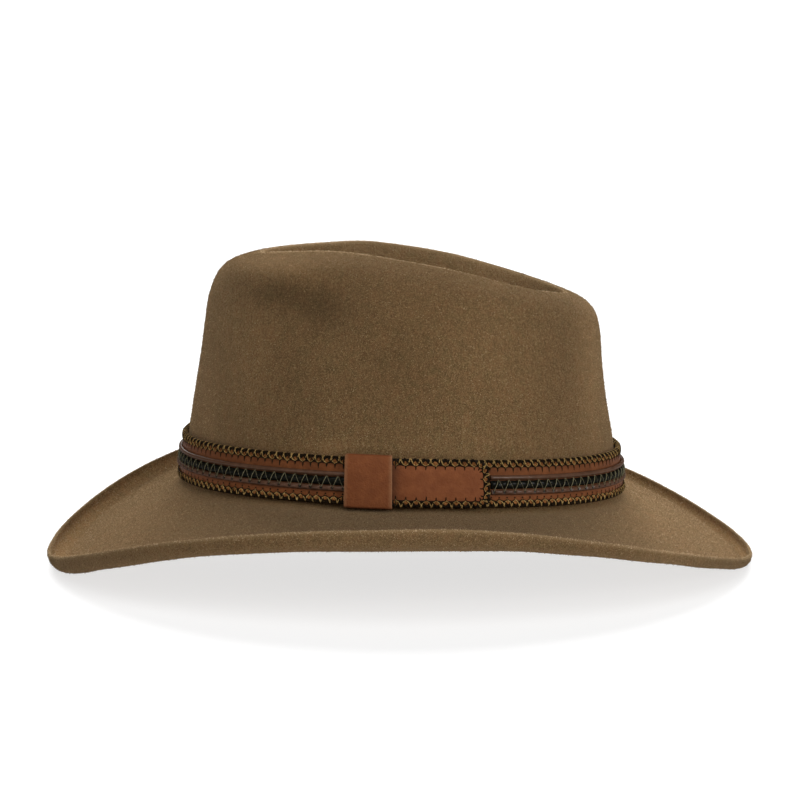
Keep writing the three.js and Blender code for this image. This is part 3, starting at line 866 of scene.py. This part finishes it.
def strand_mesh(centres, sideways, width, thickness, sides):
    """Joined tubes along many paths of the same number of points, closed at both ends."""
    forward = unit(np.gradient(centres, axis=1))
    side = unit(sideways - forward * np.sum(sideways * forward, -1, keepdims=True))
    lift = np.cross(side, forward)
    count, steps = centres.shape[:2]
    angles = np.arange(sides) * FULL_TURN / sides
    half_width = np.broadcast_to(np.asarray(width, float) / 2, (count, steps))[:, :, None, None]
    rings = (
        centres[:, :, None]
        + side[:, :, None] * (np.cos(angles)[None, None, :, None] * half_width)
        + lift[:, :, None] * (np.sin(angles) * thickness / 2)[None, None, :, None]
    )
    vertices = rings.reshape(-1, 3)
    faces = []
    for strand in range(count):
        start = strand * steps * sides
        for step in range(steps - 1):
            here = start + step * sides
            there = here + sides
            for i in range(sides):
                after = (i + 1) % sides
                faces.append((here + i, here + after, there + after, there + i))
        faces.append(tuple(start + i for i in range(sides))[::-1])
        last = start + (steps - 1) * sides
        faces.append(tuple(last + i for i in range(sides)))
    return vertices, faces


def lace_paths(route, seam, leans, lifts):
    """Band coordinates and widths of a strand at each hole of a seam, each with its own lean and lift."""
    edge, inward = seam["edge"], seam["inward"]
    steps = edge[1:] - edge[:-1]
    along = np.concatenate([[0], np.cumsum(np.linalg.norm(steps, axis=-1))])
    heading = np.sign(steps[0, 0] * inward[0, 1] - steps[0, 1] * inward[0, 0])
    columns = []
    for row in route:
        at = along + heading * leans * row["lean"]
        spot = np.stack(
            [np.interp(at, along, edge[:, axis] + inward[:, axis] * row["inset"]) for axis in (0, 1)], -1
        )
        level = seam["backs"] if row["under"] else seam["face"]
        width = np.full(len(edge), row["width"])
        columns.append((spot[:, 0], spot[:, 1], level + row["rise"] + lifts, width))
    return [np.stack(values, 1) for values in zip(*columns)]


def finer(values, steps):
    """Each row of numbers resampled on a smooth curve."""
    last = values.shape[1] - 1
    columns = []
    for index in range(last):
        before = values[:, max(index - 1, 0)]
        after = values[:, min(index + 2, last)]
        start, end = values[:, index], values[:, index + 1]
        columns += [smooth_between(before, start, end, after, step / steps) for step in range(steps)]
    columns.append(values[:, last])
    return np.stack(columns, 1)


def band_strands(distance, height, out, sideways, width, thickness, sides):
    centres = band_points(distance, height, out)
    return strand_mesh(centres, sideways, width, thickness, sides)


def seam_headings(seam, count):
    """Directions along a seam in the hat's axes, repeated for the points of each strand."""
    _, up, around, _ = band_frame(seam["edge"][:, 0])
    headings = around * seam["inward"][:, 1:] - up * seam["inward"][:, :1]
    return np.repeat(headings[:, None], count, 1)


def lacing(route, seam, leans, lifts, thickness, sides):
    """One strand of lace from each hole of a seam."""
    paths = lace_paths(route, seam, leans, lifts)
    distance, height, out, width = (finer(values, LACE["steps"]) for values in paths)
    sideways = seam_headings(seam, distance.shape[1])
    return band_strands(distance, height, out, sideways, width, thickness, sides)


def joined(parts):
    """Several meshes as one list of vertices and one of faces."""
    vertices = []
    faces = []
    offset = 0
    for part_vertices, part_faces in parts:
        vertices.append(part_vertices)
        faces += [tuple(index + offset for index in face) for face in part_faces]
        offset += len(part_vertices)
    return np.concatenate(vertices), faces


def needle_marks(seam, row, rng):
    """Short dark marks that point into the leather from each hole: thread ends, and painted shade of the
    holes.
    """
    edge, inward = seam["edge"], seam["inward"]
    count = len(edge)
    lengths = row["length"] * rng.uniform(MARK["shortest"], MARK["longest"], count)
    insets = row["start"] + lengths[:, None] * np.array(MARK_ROUTE["share"])
    distance = edge[:, :1] + inward[:, :1] * insets
    height = edge[:, 1:] + inward[:, 1:] * insets
    out = seam["face"] + np.array(MARK_ROUTE["rise"])[None]
    sideways = seam_headings(seam, insets.shape[1])
    widths = row["width"] * np.array(MARK_ROUTE["width"])
    return band_strands(distance, height, out, sideways, widths, MARK["thickness"], MARK["sides"])


def edge_cord(row, material):
    """A dark cord round the strap along one of its edges, under the lace; along the bottom edge it also
    stands in for the shadow under the strap.
    """
    along, around = EDGE_CORD_STEPS["along"], EDGE_CORD_STEPS["around"]
    places = np.arange(along) * BAND_LENGTH / along
    angles = np.arange(around) * FULL_TURN / around
    heights = row["height"] + row["radius"] * np.cos(angles)
    out = row["out"] + row["radius"] * np.sin(angles)
    points = band_points(places[:, None], heights[None], out[None])
    faces = grid_faces(along, around, closed_rows=True)
    mesh_piece(f"edge_cord_{row['name']}", points, faces, material, "black_leather")


def strap_seam(bottom):
    """The holes of the strap's top or bottom edge, from the tab's end round to the loop.

    A seam has its holes' places on the edge, the directions in from it, its pitch and the levels of the
    leather's face and back.
    """
    start = TAB["end"] - TAB["corner"] / 2
    end = BAND_LENGTH + LOOP["centre"] - LOOP["width"] / 2 - LACE_STOP["strap"]
    count = int((end - start) / STITCH_PITCH)
    places = np.linspace(start, end, count)
    height, upward = (STRAP["bottom"], 1.0) if bottom else (STRAP_TOP, -1.0)
    edge = np.stack([places, np.full(count, height)], -1)
    inward = np.tile([0.0, upward], (count, 1))
    return {"edge": edge, "inward": inward, "pitch": STITCH_PITCH, "face": STRAP["thickness"], "backs": 0.0}


def tab_outline(start):
    """The tab's edge from a place on the bottom edge round the free end to the top edge, and its length."""
    corner = TAB["corner"]
    bend = TAB["end"] - corner
    angles = np.linspace(0, math.pi / 2, TAB_STEPS["corner"])
    low = np.stack([bend + corner * np.sin(angles), TAB_BOTTOM + corner - corner * np.cos(angles)], -1)
    high = np.stack([low[::-1, 0], TAB_BOTTOM + TAB_TOP - low[::-1, 1]], -1)
    points = np.concatenate([[[start, TAB_BOTTOM]], low, high, [[start, TAB_TOP]]])
    lengths = np.concatenate([[0], np.cumsum(np.linalg.norm(np.diff(points, axis=0), axis=1))])
    return points, lengths


def tab_seam():
    """The holes round the tab, whose lace goes behind the strap too where the tab's edge is straight."""
    points, lengths = tab_outline(LOOP["centre"] + LOOP["width"] / 2 + LACE_STOP["tab"])
    count = int(lengths[-1] / TAB_STITCH_PITCH)
    places = np.linspace(0, lengths[-1], count + 1)

    def at(place):
        return np.stack([np.interp(place, lengths, points[:, axis]) for axis in range(2)], -1)

    forward = unit(at(places + EDGE_NUDGE) - at(places - EDGE_NUDGE))
    inward = np.stack([-forward[:, 1], forward[:, 0]], -1)
    backs = np.where(np.abs(inward[:, 1]) > STRAIGHT_EDGE, 0.0, TAB_BACK)
    face = TRIM_BASE + TAB["thickness"]
    return {"edge": at(places), "inward": inward, "pitch": TAB_STITCH_PITCH, "face": face, "backs": backs}


def zigzag_thread(material, rng):
    """Thin thread over the black strip, from holes in the lower piping to the upper piping's foot."""
    period = ZIGZAG["period"]
    first = math.ceil(TRIM_START / period)
    last = math.floor((BAND_LENGTH + TRIM_END) / period)
    tops = np.arange(first, last) * period
    shares = np.array(ZIGZAG_ROUTE["share"])
    rises = np.array(ZIGZAG_ROUTE["rise"])
    low = LOWER_PIPING["centre"] + ZIGZAG["low"]
    high = UPPER_PIPING["centre"] + ZIGZAG["high"]
    parts = []
    for leg in ZIGZAG_LEGS:
        feet = tops + leg["lean"] * period + rng.uniform(-ZIGZAG["spread"], ZIGZAG["spread"], len(tops))
        distance = mix(feet[:, None], tops[:, None], shares[None])
        height = np.broadcast_to(mix(low, high, shares)[None], distance.shape)
        out = np.broadcast_to((TRIM_BASE + rises + leg["lift"])[None], distance.shape)
        distance, height, out = (finer(values, ZIGZAG["steps"]) for values in (distance, height, out))
        sideways = np.repeat(band_frame(tops)[2][:, None], distance.shape[1], 1)
        width = leg["width"]
        parts.append(band_strands(distance, height, out, sideways, width, width, ZIGZAG["sides"]))
    mesh_piece("zigzag_thread", *joined(parts), material, "tab_leather")


def laced_edge(name, seam, marks, materials, rng):
    """A tan pad at each hole, gold legs that spread from it over the edge, and needle marks."""
    gold, tan, dark = materials
    pitch = seam["pitch"]
    count = len(seam["edge"])
    spread = LACE["lift_spread"]

    def legs(rows, sides):
        parts = []
        for row in rows:
            leans = row["lean"] * pitch * rng.uniform(LACE["least_lean"], LACE["most_lean"], count)
            lifts = row["lift"] + rng.uniform(-spread, spread, count)
            parts.append(lacing(GOLD_LEG, seam, leans, lifts, LACE["leg_thickness"], sides))
        return parts

    mesh_piece(f"lace_{name}", *joined(legs(GOLD_LEANS, LACE["gold_sides"])), gold, "tab_leather")
    leans = pitch * rng.uniform(-LACE["pad_lean"], LACE["pad_lean"], count)
    lifts = rng.uniform(-spread, spread, count)
    pads = lacing(TAN_PAD, seam, leans, lifts, LACE["pad_thickness"], LACE["pad_sides"])
    mesh_piece(f"lace_pads_{name}", *pads, tan, "tab_leather")
    parts = legs(DARK_LEANS, LACE["dark_sides"])
    parts += [needle_marks(seam, row, rng) for row in marks]
    mesh_piece(f"needle_marks_{name}", *joined(parts), dark, "black_leather")


# Materials
SOCKETS = {
    "roughness": "Roughness",
    "specular": "Specular IOR Level",
    "sheen": "Sheen Weight",
    "sheen_roughness": "Sheen Roughness",
    "coat": "Coat Weight",
    "coat_roughness": "Coat Roughness",
    "coat_ior": "Coat IOR",
}
# Places of the sockets of a mix of two colours.
MIX = {"share": 0, "a": 6, "b": 7, "colour": 2}


def shader(name, **sockets):
    material = bpy.data.materials.new(name)
    material.use_nodes = True
    tree = material.node_tree
    surface = tree.nodes["Principled BSDF"]
    for key, value in sockets.items():
        surface.inputs[SOCKETS[key]].default_value = value
    return material, tree, surface


def add(tree, kind, inputs=None, **settings):
    node = tree.nodes.new(kind)
    for key, value in settings.items():
        setattr(node, key, value)
    for key, value in (inputs or {}).items():
        if isinstance(value, bpy.types.NodeSocket):
            tree.links.new(value, node.inputs[key])
        else:
            node.inputs[key].default_value = value
    return node


def noise(tree, vector, grain):
    inputs = {name.capitalize(): grain[name] for name in ("scale", "detail", "roughness", "distortion")}
    return add(tree, "ShaderNodeTexNoise", {"Vector": vector, **inputs}).outputs["Fac"]


def grains(tree, vector, rows):
    """Noise of each grain in a table, by name."""
    return {row["name"]: noise(tree, vector, row) for row in rows}


def ramp(tree, value, low, high, start, end):
    """A value mapped from low..high to start..end."""
    inputs = {"Value": value, "From Min": low, "From Max": high, "To Min": start, "To Max": end}
    return add(tree, "ShaderNodeMapRange", inputs).outputs["Result"]


def maths(tree, operation, a, b):
    return add(tree, "ShaderNodeMath", {0: a, 1: b}, operation=operation).outputs[0]


def blend(tree, share, a, b):
    inputs = {MIX["share"]: share, MIX["a"]: a, MIX["b"]: b}
    return add(tree, "ShaderNodeMix", inputs, data_type="RGBA").outputs[MIX["colour"]]


def layered(tree, tone, layers, sources, colours):
    """A tone with other colours laid over it, each where its source runs from low to high."""
    for layer in layers:
        share = ramp(tree, sources[layer["source"]], layer["low"], layer["high"], 0, layer["share"])
        tone = blend(tree, share, tone, colours[layer["colour"]])
    return tone


def scaled(tree, tone, factor):
    node = add(tree, "ShaderNodeVectorMath", {"Vector": tone, "Scale": factor}, operation="SCALE")
    return node.outputs["Vector"]


def bump(tree, height, strength, distance, normal=None):
    inputs = {"Height": height, "Strength": strength, "Distance": distance}
    if normal:
        inputs["Normal"] = normal
    return add(tree, "ShaderNodeBump", inputs).outputs["Normal"]


def place(tree):
    return add(tree, "ShaderNodeTexCoord").outputs["Object"]


def stretched(tree, vector, scale):
    return add(tree, "ShaderNodeMapping", {"Vector": vector, "Scale": scale}).outputs["Vector"]


def attribute(tree, name):
    return add(tree, "ShaderNodeAttribute", attribute_name=name).outputs["Fac"]


# Nearly all of a noise lies in this range.
NOISE_RANGE = (0.3, 0.7)
# Grains of noise, by how many there are to the metre and how fine, rough and twisted they are.
GRAIN = "name scale detail roughness distortion"
FELT_GRAINS = table(
    GRAIN,
    ("fibres", 1700, 4, 0.7, 0.8),
    ("specks", 2600, 3, 0.6, 0.5),
    ("tufts", 480, 4, 0.7, 0.4),
    ("patches", 150, 3, 0.65, 0),
    ("hue", 260, 3, 0.6, 0),
    ("broad", 18, 3, 0.5, 0),
)
# The brushed grain is drawn out along the height of the hat.
BRUSHED = {"scale": 1, "detail": 3, "roughness": 0.6, "distortion": 0}
BRUSHED_STRETCH = (600, 600, 80)
FELT = {
    "dark": (0.0920, 0.0580, 0.0252, 1),
    "light": (0.1411, 0.0743, 0.0328, 1),
    "green": (0.0857, 0.0668, 0.0271, 1),
    "shade": (0.0655, 0.0391, 0.0176, 1),
    "tip": (0.2898, 0.1827, 0.0882, 1),
    "pit": (0.0378, 0.0214, 0.0088, 1),
    # worn serves worn felt and the painted highlight on the ridge and the brim's edge.
    "worn": (0.2709, 0.1789, 0.0920, 1),
    "sheen": (0.75, 0.55, 0.35, 1),
}
# Colours laid one over another, by the source that carries each, its range and the share it reaches.
LAYER = "source low high share colour"
FELT_LAYERS = table(
    LAYER,
    ("patches", 0.3, 0.7, 1, "light"),
    ("hue", 0.45, 0.66, 0.55, "green"),
    ("broad", 0.35, 0.65, 0.3, "light"),
    ("brushed", 0.4, 0.68, 0.5, "shade"),
    ("tufts", 0.45, 0.68, 0.22, "tip"),
    ("fibres", 0.46, 0.68, 0.7, "tip"),
    ("specks", 0.48, 0.68, 0.75, "pit"),
    ("wear", 0, 1, 0.7, "worn"),
)
# Bumps by their strength and their height in metres. specks is their share beside the fibres.
FELT_BUMPS = {"rough": (0.8, 0.0008), "soft": (0.35, 0.0012), "specks": 0.5}

# Plain tones of single fibres, from the darkest to the most worn, which also gives the painted highlight.
FIBRE_TONES = [
    (0.075, 0.048, 0.0215, 1),
    (0.115, 0.075, 0.035, 1),
    (0.170, 0.113, 0.055, 1),
    (0.245, 0.166, 0.085, 1),
    (0.340, 0.235, 0.124, 1),
    (0.450, 0.318, 0.178, 1),
    (0.600, 0.445, 0.275, 1),
]
# Brightness of a fibre against its tone number, where 1 to 2 is worn felt with its painted highlight.
FIBRE_LEVELS = {"tone": [0.2, 0.9, 1.0, 1.8], "level": [0.064, 0.28, 0.28, 0.47]}

LEATHER_GRAINS = table(GRAIN, ("patches", 260, 4, 0.6, 0), ("broad", 60, 3, 0.5, 0))
LEATHER_LAYERS = table(LAYER, ("patches", 0.3, 0.7, 1, "light"), ("broad", 0.35, 0.7, 0.4, "dark"))
LEATHER_RELIEF = table(GRAIN, ("pores", 2600, 3, 0.6, 0), ("creases", 330, 3, 0.55, 1.2))
# cells is how many grain cells there are to the metre, and pores and creases are shares of the relief.
# fine and broad are the heights of the two bumps in metres, and worn is the change of roughness.
RELIEF = {"cells": 1100, "pores": 0.6, "creases": 0.6, "fine": 0.0003, "broad": 0.0008, "worn": (-0.08, 0.1)}
# Leathers by how rough and shiny they are, their gloss coat, the strength of their relief and two tones.
LEATHERS = table(
    "name roughness specular coat relief dark light",
    ("strap_leather", 0.6, 0.07, 0, 0.5, (0.098, 0.032, 0.0108, 1), (0.152, 0.051, 0.0168, 1)),
    ("tab_leather", 0.6, 0.08, 0, 0.5, (0.137, 0.042, 0.0150, 1), (0.194, 0.063, 0.0222, 1)),
    ("loop_leather", 0.65, 0.06, 0, 0.6, (0.132, 0.042, 0.0155, 1), (0.186, 0.061, 0.0220, 1)),
    ("piping_leather", 0.4, 0, 0.09, 0.35, (0.058, 0.029, 0.017, 1), (0.100, 0.050, 0.030, 1)),
    ("black_leather", 0.4, 0, 0.035, 0.35, (0.0030, 0.0030, 0.0022, 1), (0.007, 0.0068, 0.0045, 1)),
)
# Near-black for dark thread and for painted shade: under the lace, beside the loop and in the thread's
# dents.
STITCH_DARK_AND_PAINTED_SHADE = (0.010, 0.006, 0.0035, 1)
CUT_LEATHER = (0.30, 0.165, 0.085, 1)
# Brightness of the strap's leather at its bottom and top edge.
STRAP_PAINTED_LIGHT = {"bottom": 1.35, "top": 0.93}
# Shares of another colour in the shade beside the loop and on the loop's cut edges.
PAINTED_SHADOW_SHARE = 0.55
CUT_SHARE = 0.6
# Depths of a dent, as shares of the height, from where the leather darkens to where it is dark.
PIT_PAINTED_SHADE = {"from": 0.12, "to": 0.45}

THREAD_GRAINS = table(GRAIN, ("strands", 1900, 2, 0.6, 0), ("broad", 130, 2, 0.5, 0))
THREAD_LAYERS = table(LAYER, ("strands", 0.35, 0.65, 1, "light"), ("broad", 0.4, 0.7, 0.4, "dark"))
THREAD_BUMP = (0.5, 0.0003)
THREADS = table(
    "name dark light",
    ("gold_thread", (0.070, 0.040, 0.014, 1), (0.420, 0.270, 0.100, 1)),
    ("tan_lace", (0.050, 0.018, 0.006, 1), (0.270, 0.112, 0.036, 1)),
    ("dark_thread", (0.006, 0.004, 0.002, 1), (0.022, 0.013, 0.006, 1)),
    ("olive_thread", (0.090, 0.080, 0.045, 1), (0.225, 0.203, 0.121, 1)),
    # Lighter copies of the gold thread and tan lace: painted light for the lower lace, which lies in shade
    # low on the band.
    ("gold_thread_low", (0.100, 0.058, 0.020, 1), (0.560, 0.370, 0.140, 1)),
    ("tan_lace_low", (0.075, 0.027, 0.009, 1), (0.400, 0.170, 0.056, 1)),
)


def felt_material():
    looks = {"roughness": 0.95, "specular": 0.0, "sheen": 0.3, "sheen_roughness": 0.35}
    material, tree, surface = shader("felt_wool", **looks)
    surface.inputs["Sheen Tint"].default_value = FELT["sheen"]
    at = place(tree)
    sources = grains(tree, at, FELT_GRAINS)
    sources["brushed"] = noise(tree, stretched(tree, at, BRUSHED_STRETCH), BRUSHED)
    sources["wear"] = attribute(tree, "wear")
    tone = layered(tree, FELT["dark"], FELT_LAYERS, sources, FELT)
    # The felt's colour is scaled by its painted light and shade.
    tree.links.new(scaled(tree, tone, attribute(tree, "nap")), surface.inputs["Base Color"])

    specks = maths(tree, "MULTIPLY", sources["specks"], FELT_BUMPS["specks"])
    rough = bump(tree, maths(tree, "ADD", sources["fibres"], specks), *FELT_BUMPS["rough"])
    tree.links.new(bump(tree, sources["tufts"], *FELT_BUMPS["soft"], rough), surface.inputs["Normal"])
    return material


def fibre_materials():
    materials = []
    for index, tone in enumerate(FIBRE_TONES):
        material, _, surface = shader(f"felt_fibre_{index}", roughness=0.9, specular=0.0)
        surface.inputs["Base Color"].default_value = tone
        materials.append(material)
    return materials


def fibre_slots(tones, nap):
    """The nearest plain tone for each fibre."""
    wanted = np.interp(tones, FIBRE_LEVELS["tone"], FIBRE_LEVELS["level"]) * nap
    levels = np.array([tone[1] for tone in FIBRE_TONES])
    return np.searchsorted(np.sqrt(levels[1:] * levels[:-1]), wanted)


def leather_relief(tree, at, surface, strength):
    """Grain cells, pores and creases as bumps, and roughness that differs from pore to pore."""
    inputs = {"Vector": at, "Scale": RELIEF["cells"], "Randomness": 1.0}
    cells = add(tree, "ShaderNodeTexVoronoi", inputs, feature="F1").outputs["Distance"]
    sources = grains(tree, at, LEATHER_RELIEF)
    height = maths(tree, "ADD", cells, maths(tree, "MULTIPLY", sources["pores"], RELIEF["pores"]))
    fine = bump(tree, height, strength, RELIEF["fine"])
    broad = bump(tree, sources["creases"], strength * RELIEF["creases"], RELIEF["broad"], fine)
    tree.links.new(broad, surface.inputs["Normal"])
    worn = ramp(tree, sources["pores"], *NOISE_RANGE, *RELIEF["worn"])
    rough = maths(tree, "ADD", worn, surface.inputs["Roughness"].default_value)
    tree.links.new(rough, surface.inputs["Roughness"])


def leather_material(row, finish):
    """Leather in patches of its two tones, changed further by finish(tree, tone)."""
    looks = {"roughness": row["roughness"], "specular": row["specular"]}
    if row["coat"]:
        looks |= {"coat": row["coat"], "coat_roughness": 0.12, "coat_ior": 2.0}
    material, tree, surface = shader(row["name"], **looks)
    at = place(tree)
    tone = layered(tree, row["dark"], LEATHER_LAYERS, grains(tree, at, LEATHER_GRAINS), row)
    tree.links.new(finish(tree, tone), surface.inputs["Base Color"])
    leather_relief(tree, at, surface, row["relief"])
    return material


def strap_finish(tree, tone):
    """Painted light, lighter towards the bottom, and dark under the lace of both edges, partly dark thread
    and partly painted shade.
    """
    height = attribute(tree, "height")
    bottom = STRAP["bottom"] + LACED["bottom"]
    top = STRAP_TOP - LACED["top"]
    strap_painted_light = ramp(tree, height, bottom, top, STRAP_PAINTED_LIGHT["bottom"], STRAP_PAINTED_LIGHT["top"])
    low = ramp(tree, height, bottom, bottom + LACED["bottom_fade"], 1, 0)
    high = ramp(tree, height, top, top + LACED["top_fade"], 0, 1)
    return blend(tree, maths(tree, "MAXIMUM", low, high), scaled(tree, tone, strap_painted_light), STITCH_DARK_AND_PAINTED_SHADE)


def tab_finish(tree, tone):
    """A painted shadow beside the loop, and dark under the lace, partly dark thread and partly painted
    shade.
    """
    tone = blend(tree, ramp(tree, attribute(tree, "shade"), 0, 1, 0, PAINTED_SHADOW_SHARE), tone, STITCH_DARK_AND_PAINTED_SHADE)
    laced = ramp(tree, attribute(tree, "from_edge"), LACED["top"] - LACED["top_fade"], LACED["top"], 1, 0)
    return blend(tree, laced, tone, STITCH_DARK_AND_PAINTED_SHADE)


def loop_finish(tree, tone):
    return blend(tree, ramp(tree, attribute(tree, "cut_edge"), 0, 1, 0, CUT_SHARE), tone, CUT_LEATHER)


def painted_shade_in_dents(tree, tone):
    """Painted shade in the dents of the thread."""
    share = ramp(tree, attribute(tree, "pit"), PIT_PAINTED_SHADE["from"], PIT_PAINTED_SHADE["to"], 0, 1)
    return blend(tree, share, tone, STITCH_DARK_AND_PAINTED_SHADE)


def thread_material(row):
    material, tree, surface = shader(row["name"], roughness=0.8, specular=0.02)
    sources = grains(tree, place(tree), THREAD_GRAINS)
    tone = layered(tree, row["dark"], THREAD_LAYERS, sources, row)
    tree.links.new(tone, surface.inputs["Base Color"])
    tree.links.new(bump(tree, sources["strands"], *THREAD_BUMP), surface.inputs["Normal"])
    return material


def build_hat():
    rng = np.random.default_rng(SEED)
    finishes = (strap_finish, tab_finish, loop_finish, painted_shade_in_dents, painted_shade_in_dents)
    leathers = {row["name"]: leather_material(row, finish) for row, finish in zip(LEATHERS, finishes)}
    felt_piece(felt_material(), fibre_materials())
    strap_piece(leathers["strap_leather"])
    for trim, dents in zip(TRIMS, (upper_dents, thread_creases, thread_holes)):
        trim_piece(trim, dents, leathers[trim["slot"]])
    tab_piece(leathers["tab_leather"])
    loop_piece(leathers["loop_leather"])

    threads = {row["name"]: thread_material(row) for row in THREADS}
    dark = threads["dark_thread"]
    high = (threads["gold_thread"], threads["tan_lace"], dark)
    # The lower lace takes the lighter copies, as painted light.
    low = (threads["gold_thread_low"], threads["tan_lace_low"], dark)
    laced_edge("upper", strap_seam(False), UPPER_MARKS, high, rng)
    laced_edge("lower", strap_seam(True), LOWER_MARKS, low, rng)
    laced_edge("tab", tab_seam(), UPPER_MARKS, high, rng)
    for row in EDGE_CORDS:
        edge_cord(row, dark)
    zigzag_thread(threads["olive_thread"], rng)


# Studio, in metres
CAMERA_AT = (1.4982, -0.0733, 0.3204)
CAMERA_AIM = (0.0, 0.0, 0.0791)
CAMERA_LENS = 139.8
CAMERA_SENSOR = 36.0
WHITE = (1, 1, 1, 1)
FLOOR_HALF = 30.0
FLOOR_COLOUR = (0.35, 0.35, 0.35, 1)
FLOOR_GLOW = 0.7
WORLD_STRENGTH = 0.03

# Lights by their direction from the hat: around is from the wearer's left towards the back, in degrees.
LIGHTS = table(
    "name around up spread strength",
    ("far_light", 180, 35, 50, 4.3),
    ("side_light", 0, 50, 60, 1.75),
    ("near_back_light", 50, 15, 25, 1.5),
    ("near_front_light", -50, 15, 20, 0.3),
)


def aimed(thing, at, aim):
    thing.location = at
    thing.rotation_mode = "QUATERNION"
    thing.rotation_quaternion = (Vector(aim) - Vector(at)).to_track_quat("-Z", "Y")


def soft_light(row):
    """A wide far light, the same all over the floor."""
    lamp = bpy.data.lights.new(row["name"], "SUN")
    lamp.angle = math.radians(row["spread"])
    lamp.energy = row["strength"]
    light = bpy.data.objects.new(row["name"], lamp)
    bpy.context.scene.collection.objects.link(light)
    around = math.radians(row["around"])
    up = math.radians(row["up"])
    at = (math.cos(around) * math.cos(up), math.sin(around) * math.cos(up), math.sin(up))
    aimed(light, at, (0, 0, 0))


def build_studio():
    scene = bpy.context.scene
    scene.view_settings.view_transform = "Standard"
    world = bpy.data.worlds.new("studio")
    world.use_nodes = True
    background = world.node_tree.nodes["Background"]
    background.inputs["Color"].default_value = WHITE
    background.inputs["Strength"].default_value = WORLD_STRENGTH
    scene.world = world

    mesh = bpy.data.meshes.new("floor")
    corners = [(-1, -1), (1, -1), (1, 1), (-1, 1)]
    mesh.from_pydata([(x * FLOOR_HALF, y * FLOOR_HALF, 0) for x, y in corners], [], [(0, 1, 2, 3)])
    material, _, surface = shader("floor", roughness=0.8)
    surface.inputs["Base Color"].default_value = FLOOR_COLOUR
    surface.inputs["Emission Color"].default_value = WHITE
    surface.inputs["Emission Strength"].default_value = FLOOR_GLOW
    mesh.materials.append(material)
    floor = bpy.data.objects.new("floor", mesh)
    scene.collection.objects.link(floor)

    for row in LIGHTS:
        soft_light(row)

    lens = bpy.data.cameras.new("camera")
    lens.lens = CAMERA_LENS
    lens.sensor_width = CAMERA_SENSOR
    camera = bpy.data.objects.new("camera", lens)
    scene.collection.objects.link(camera)
    aimed(camera, CAMERA_AT, CAMERA_AIM)
    scene.camera = camera


build_hat()
build_studio()
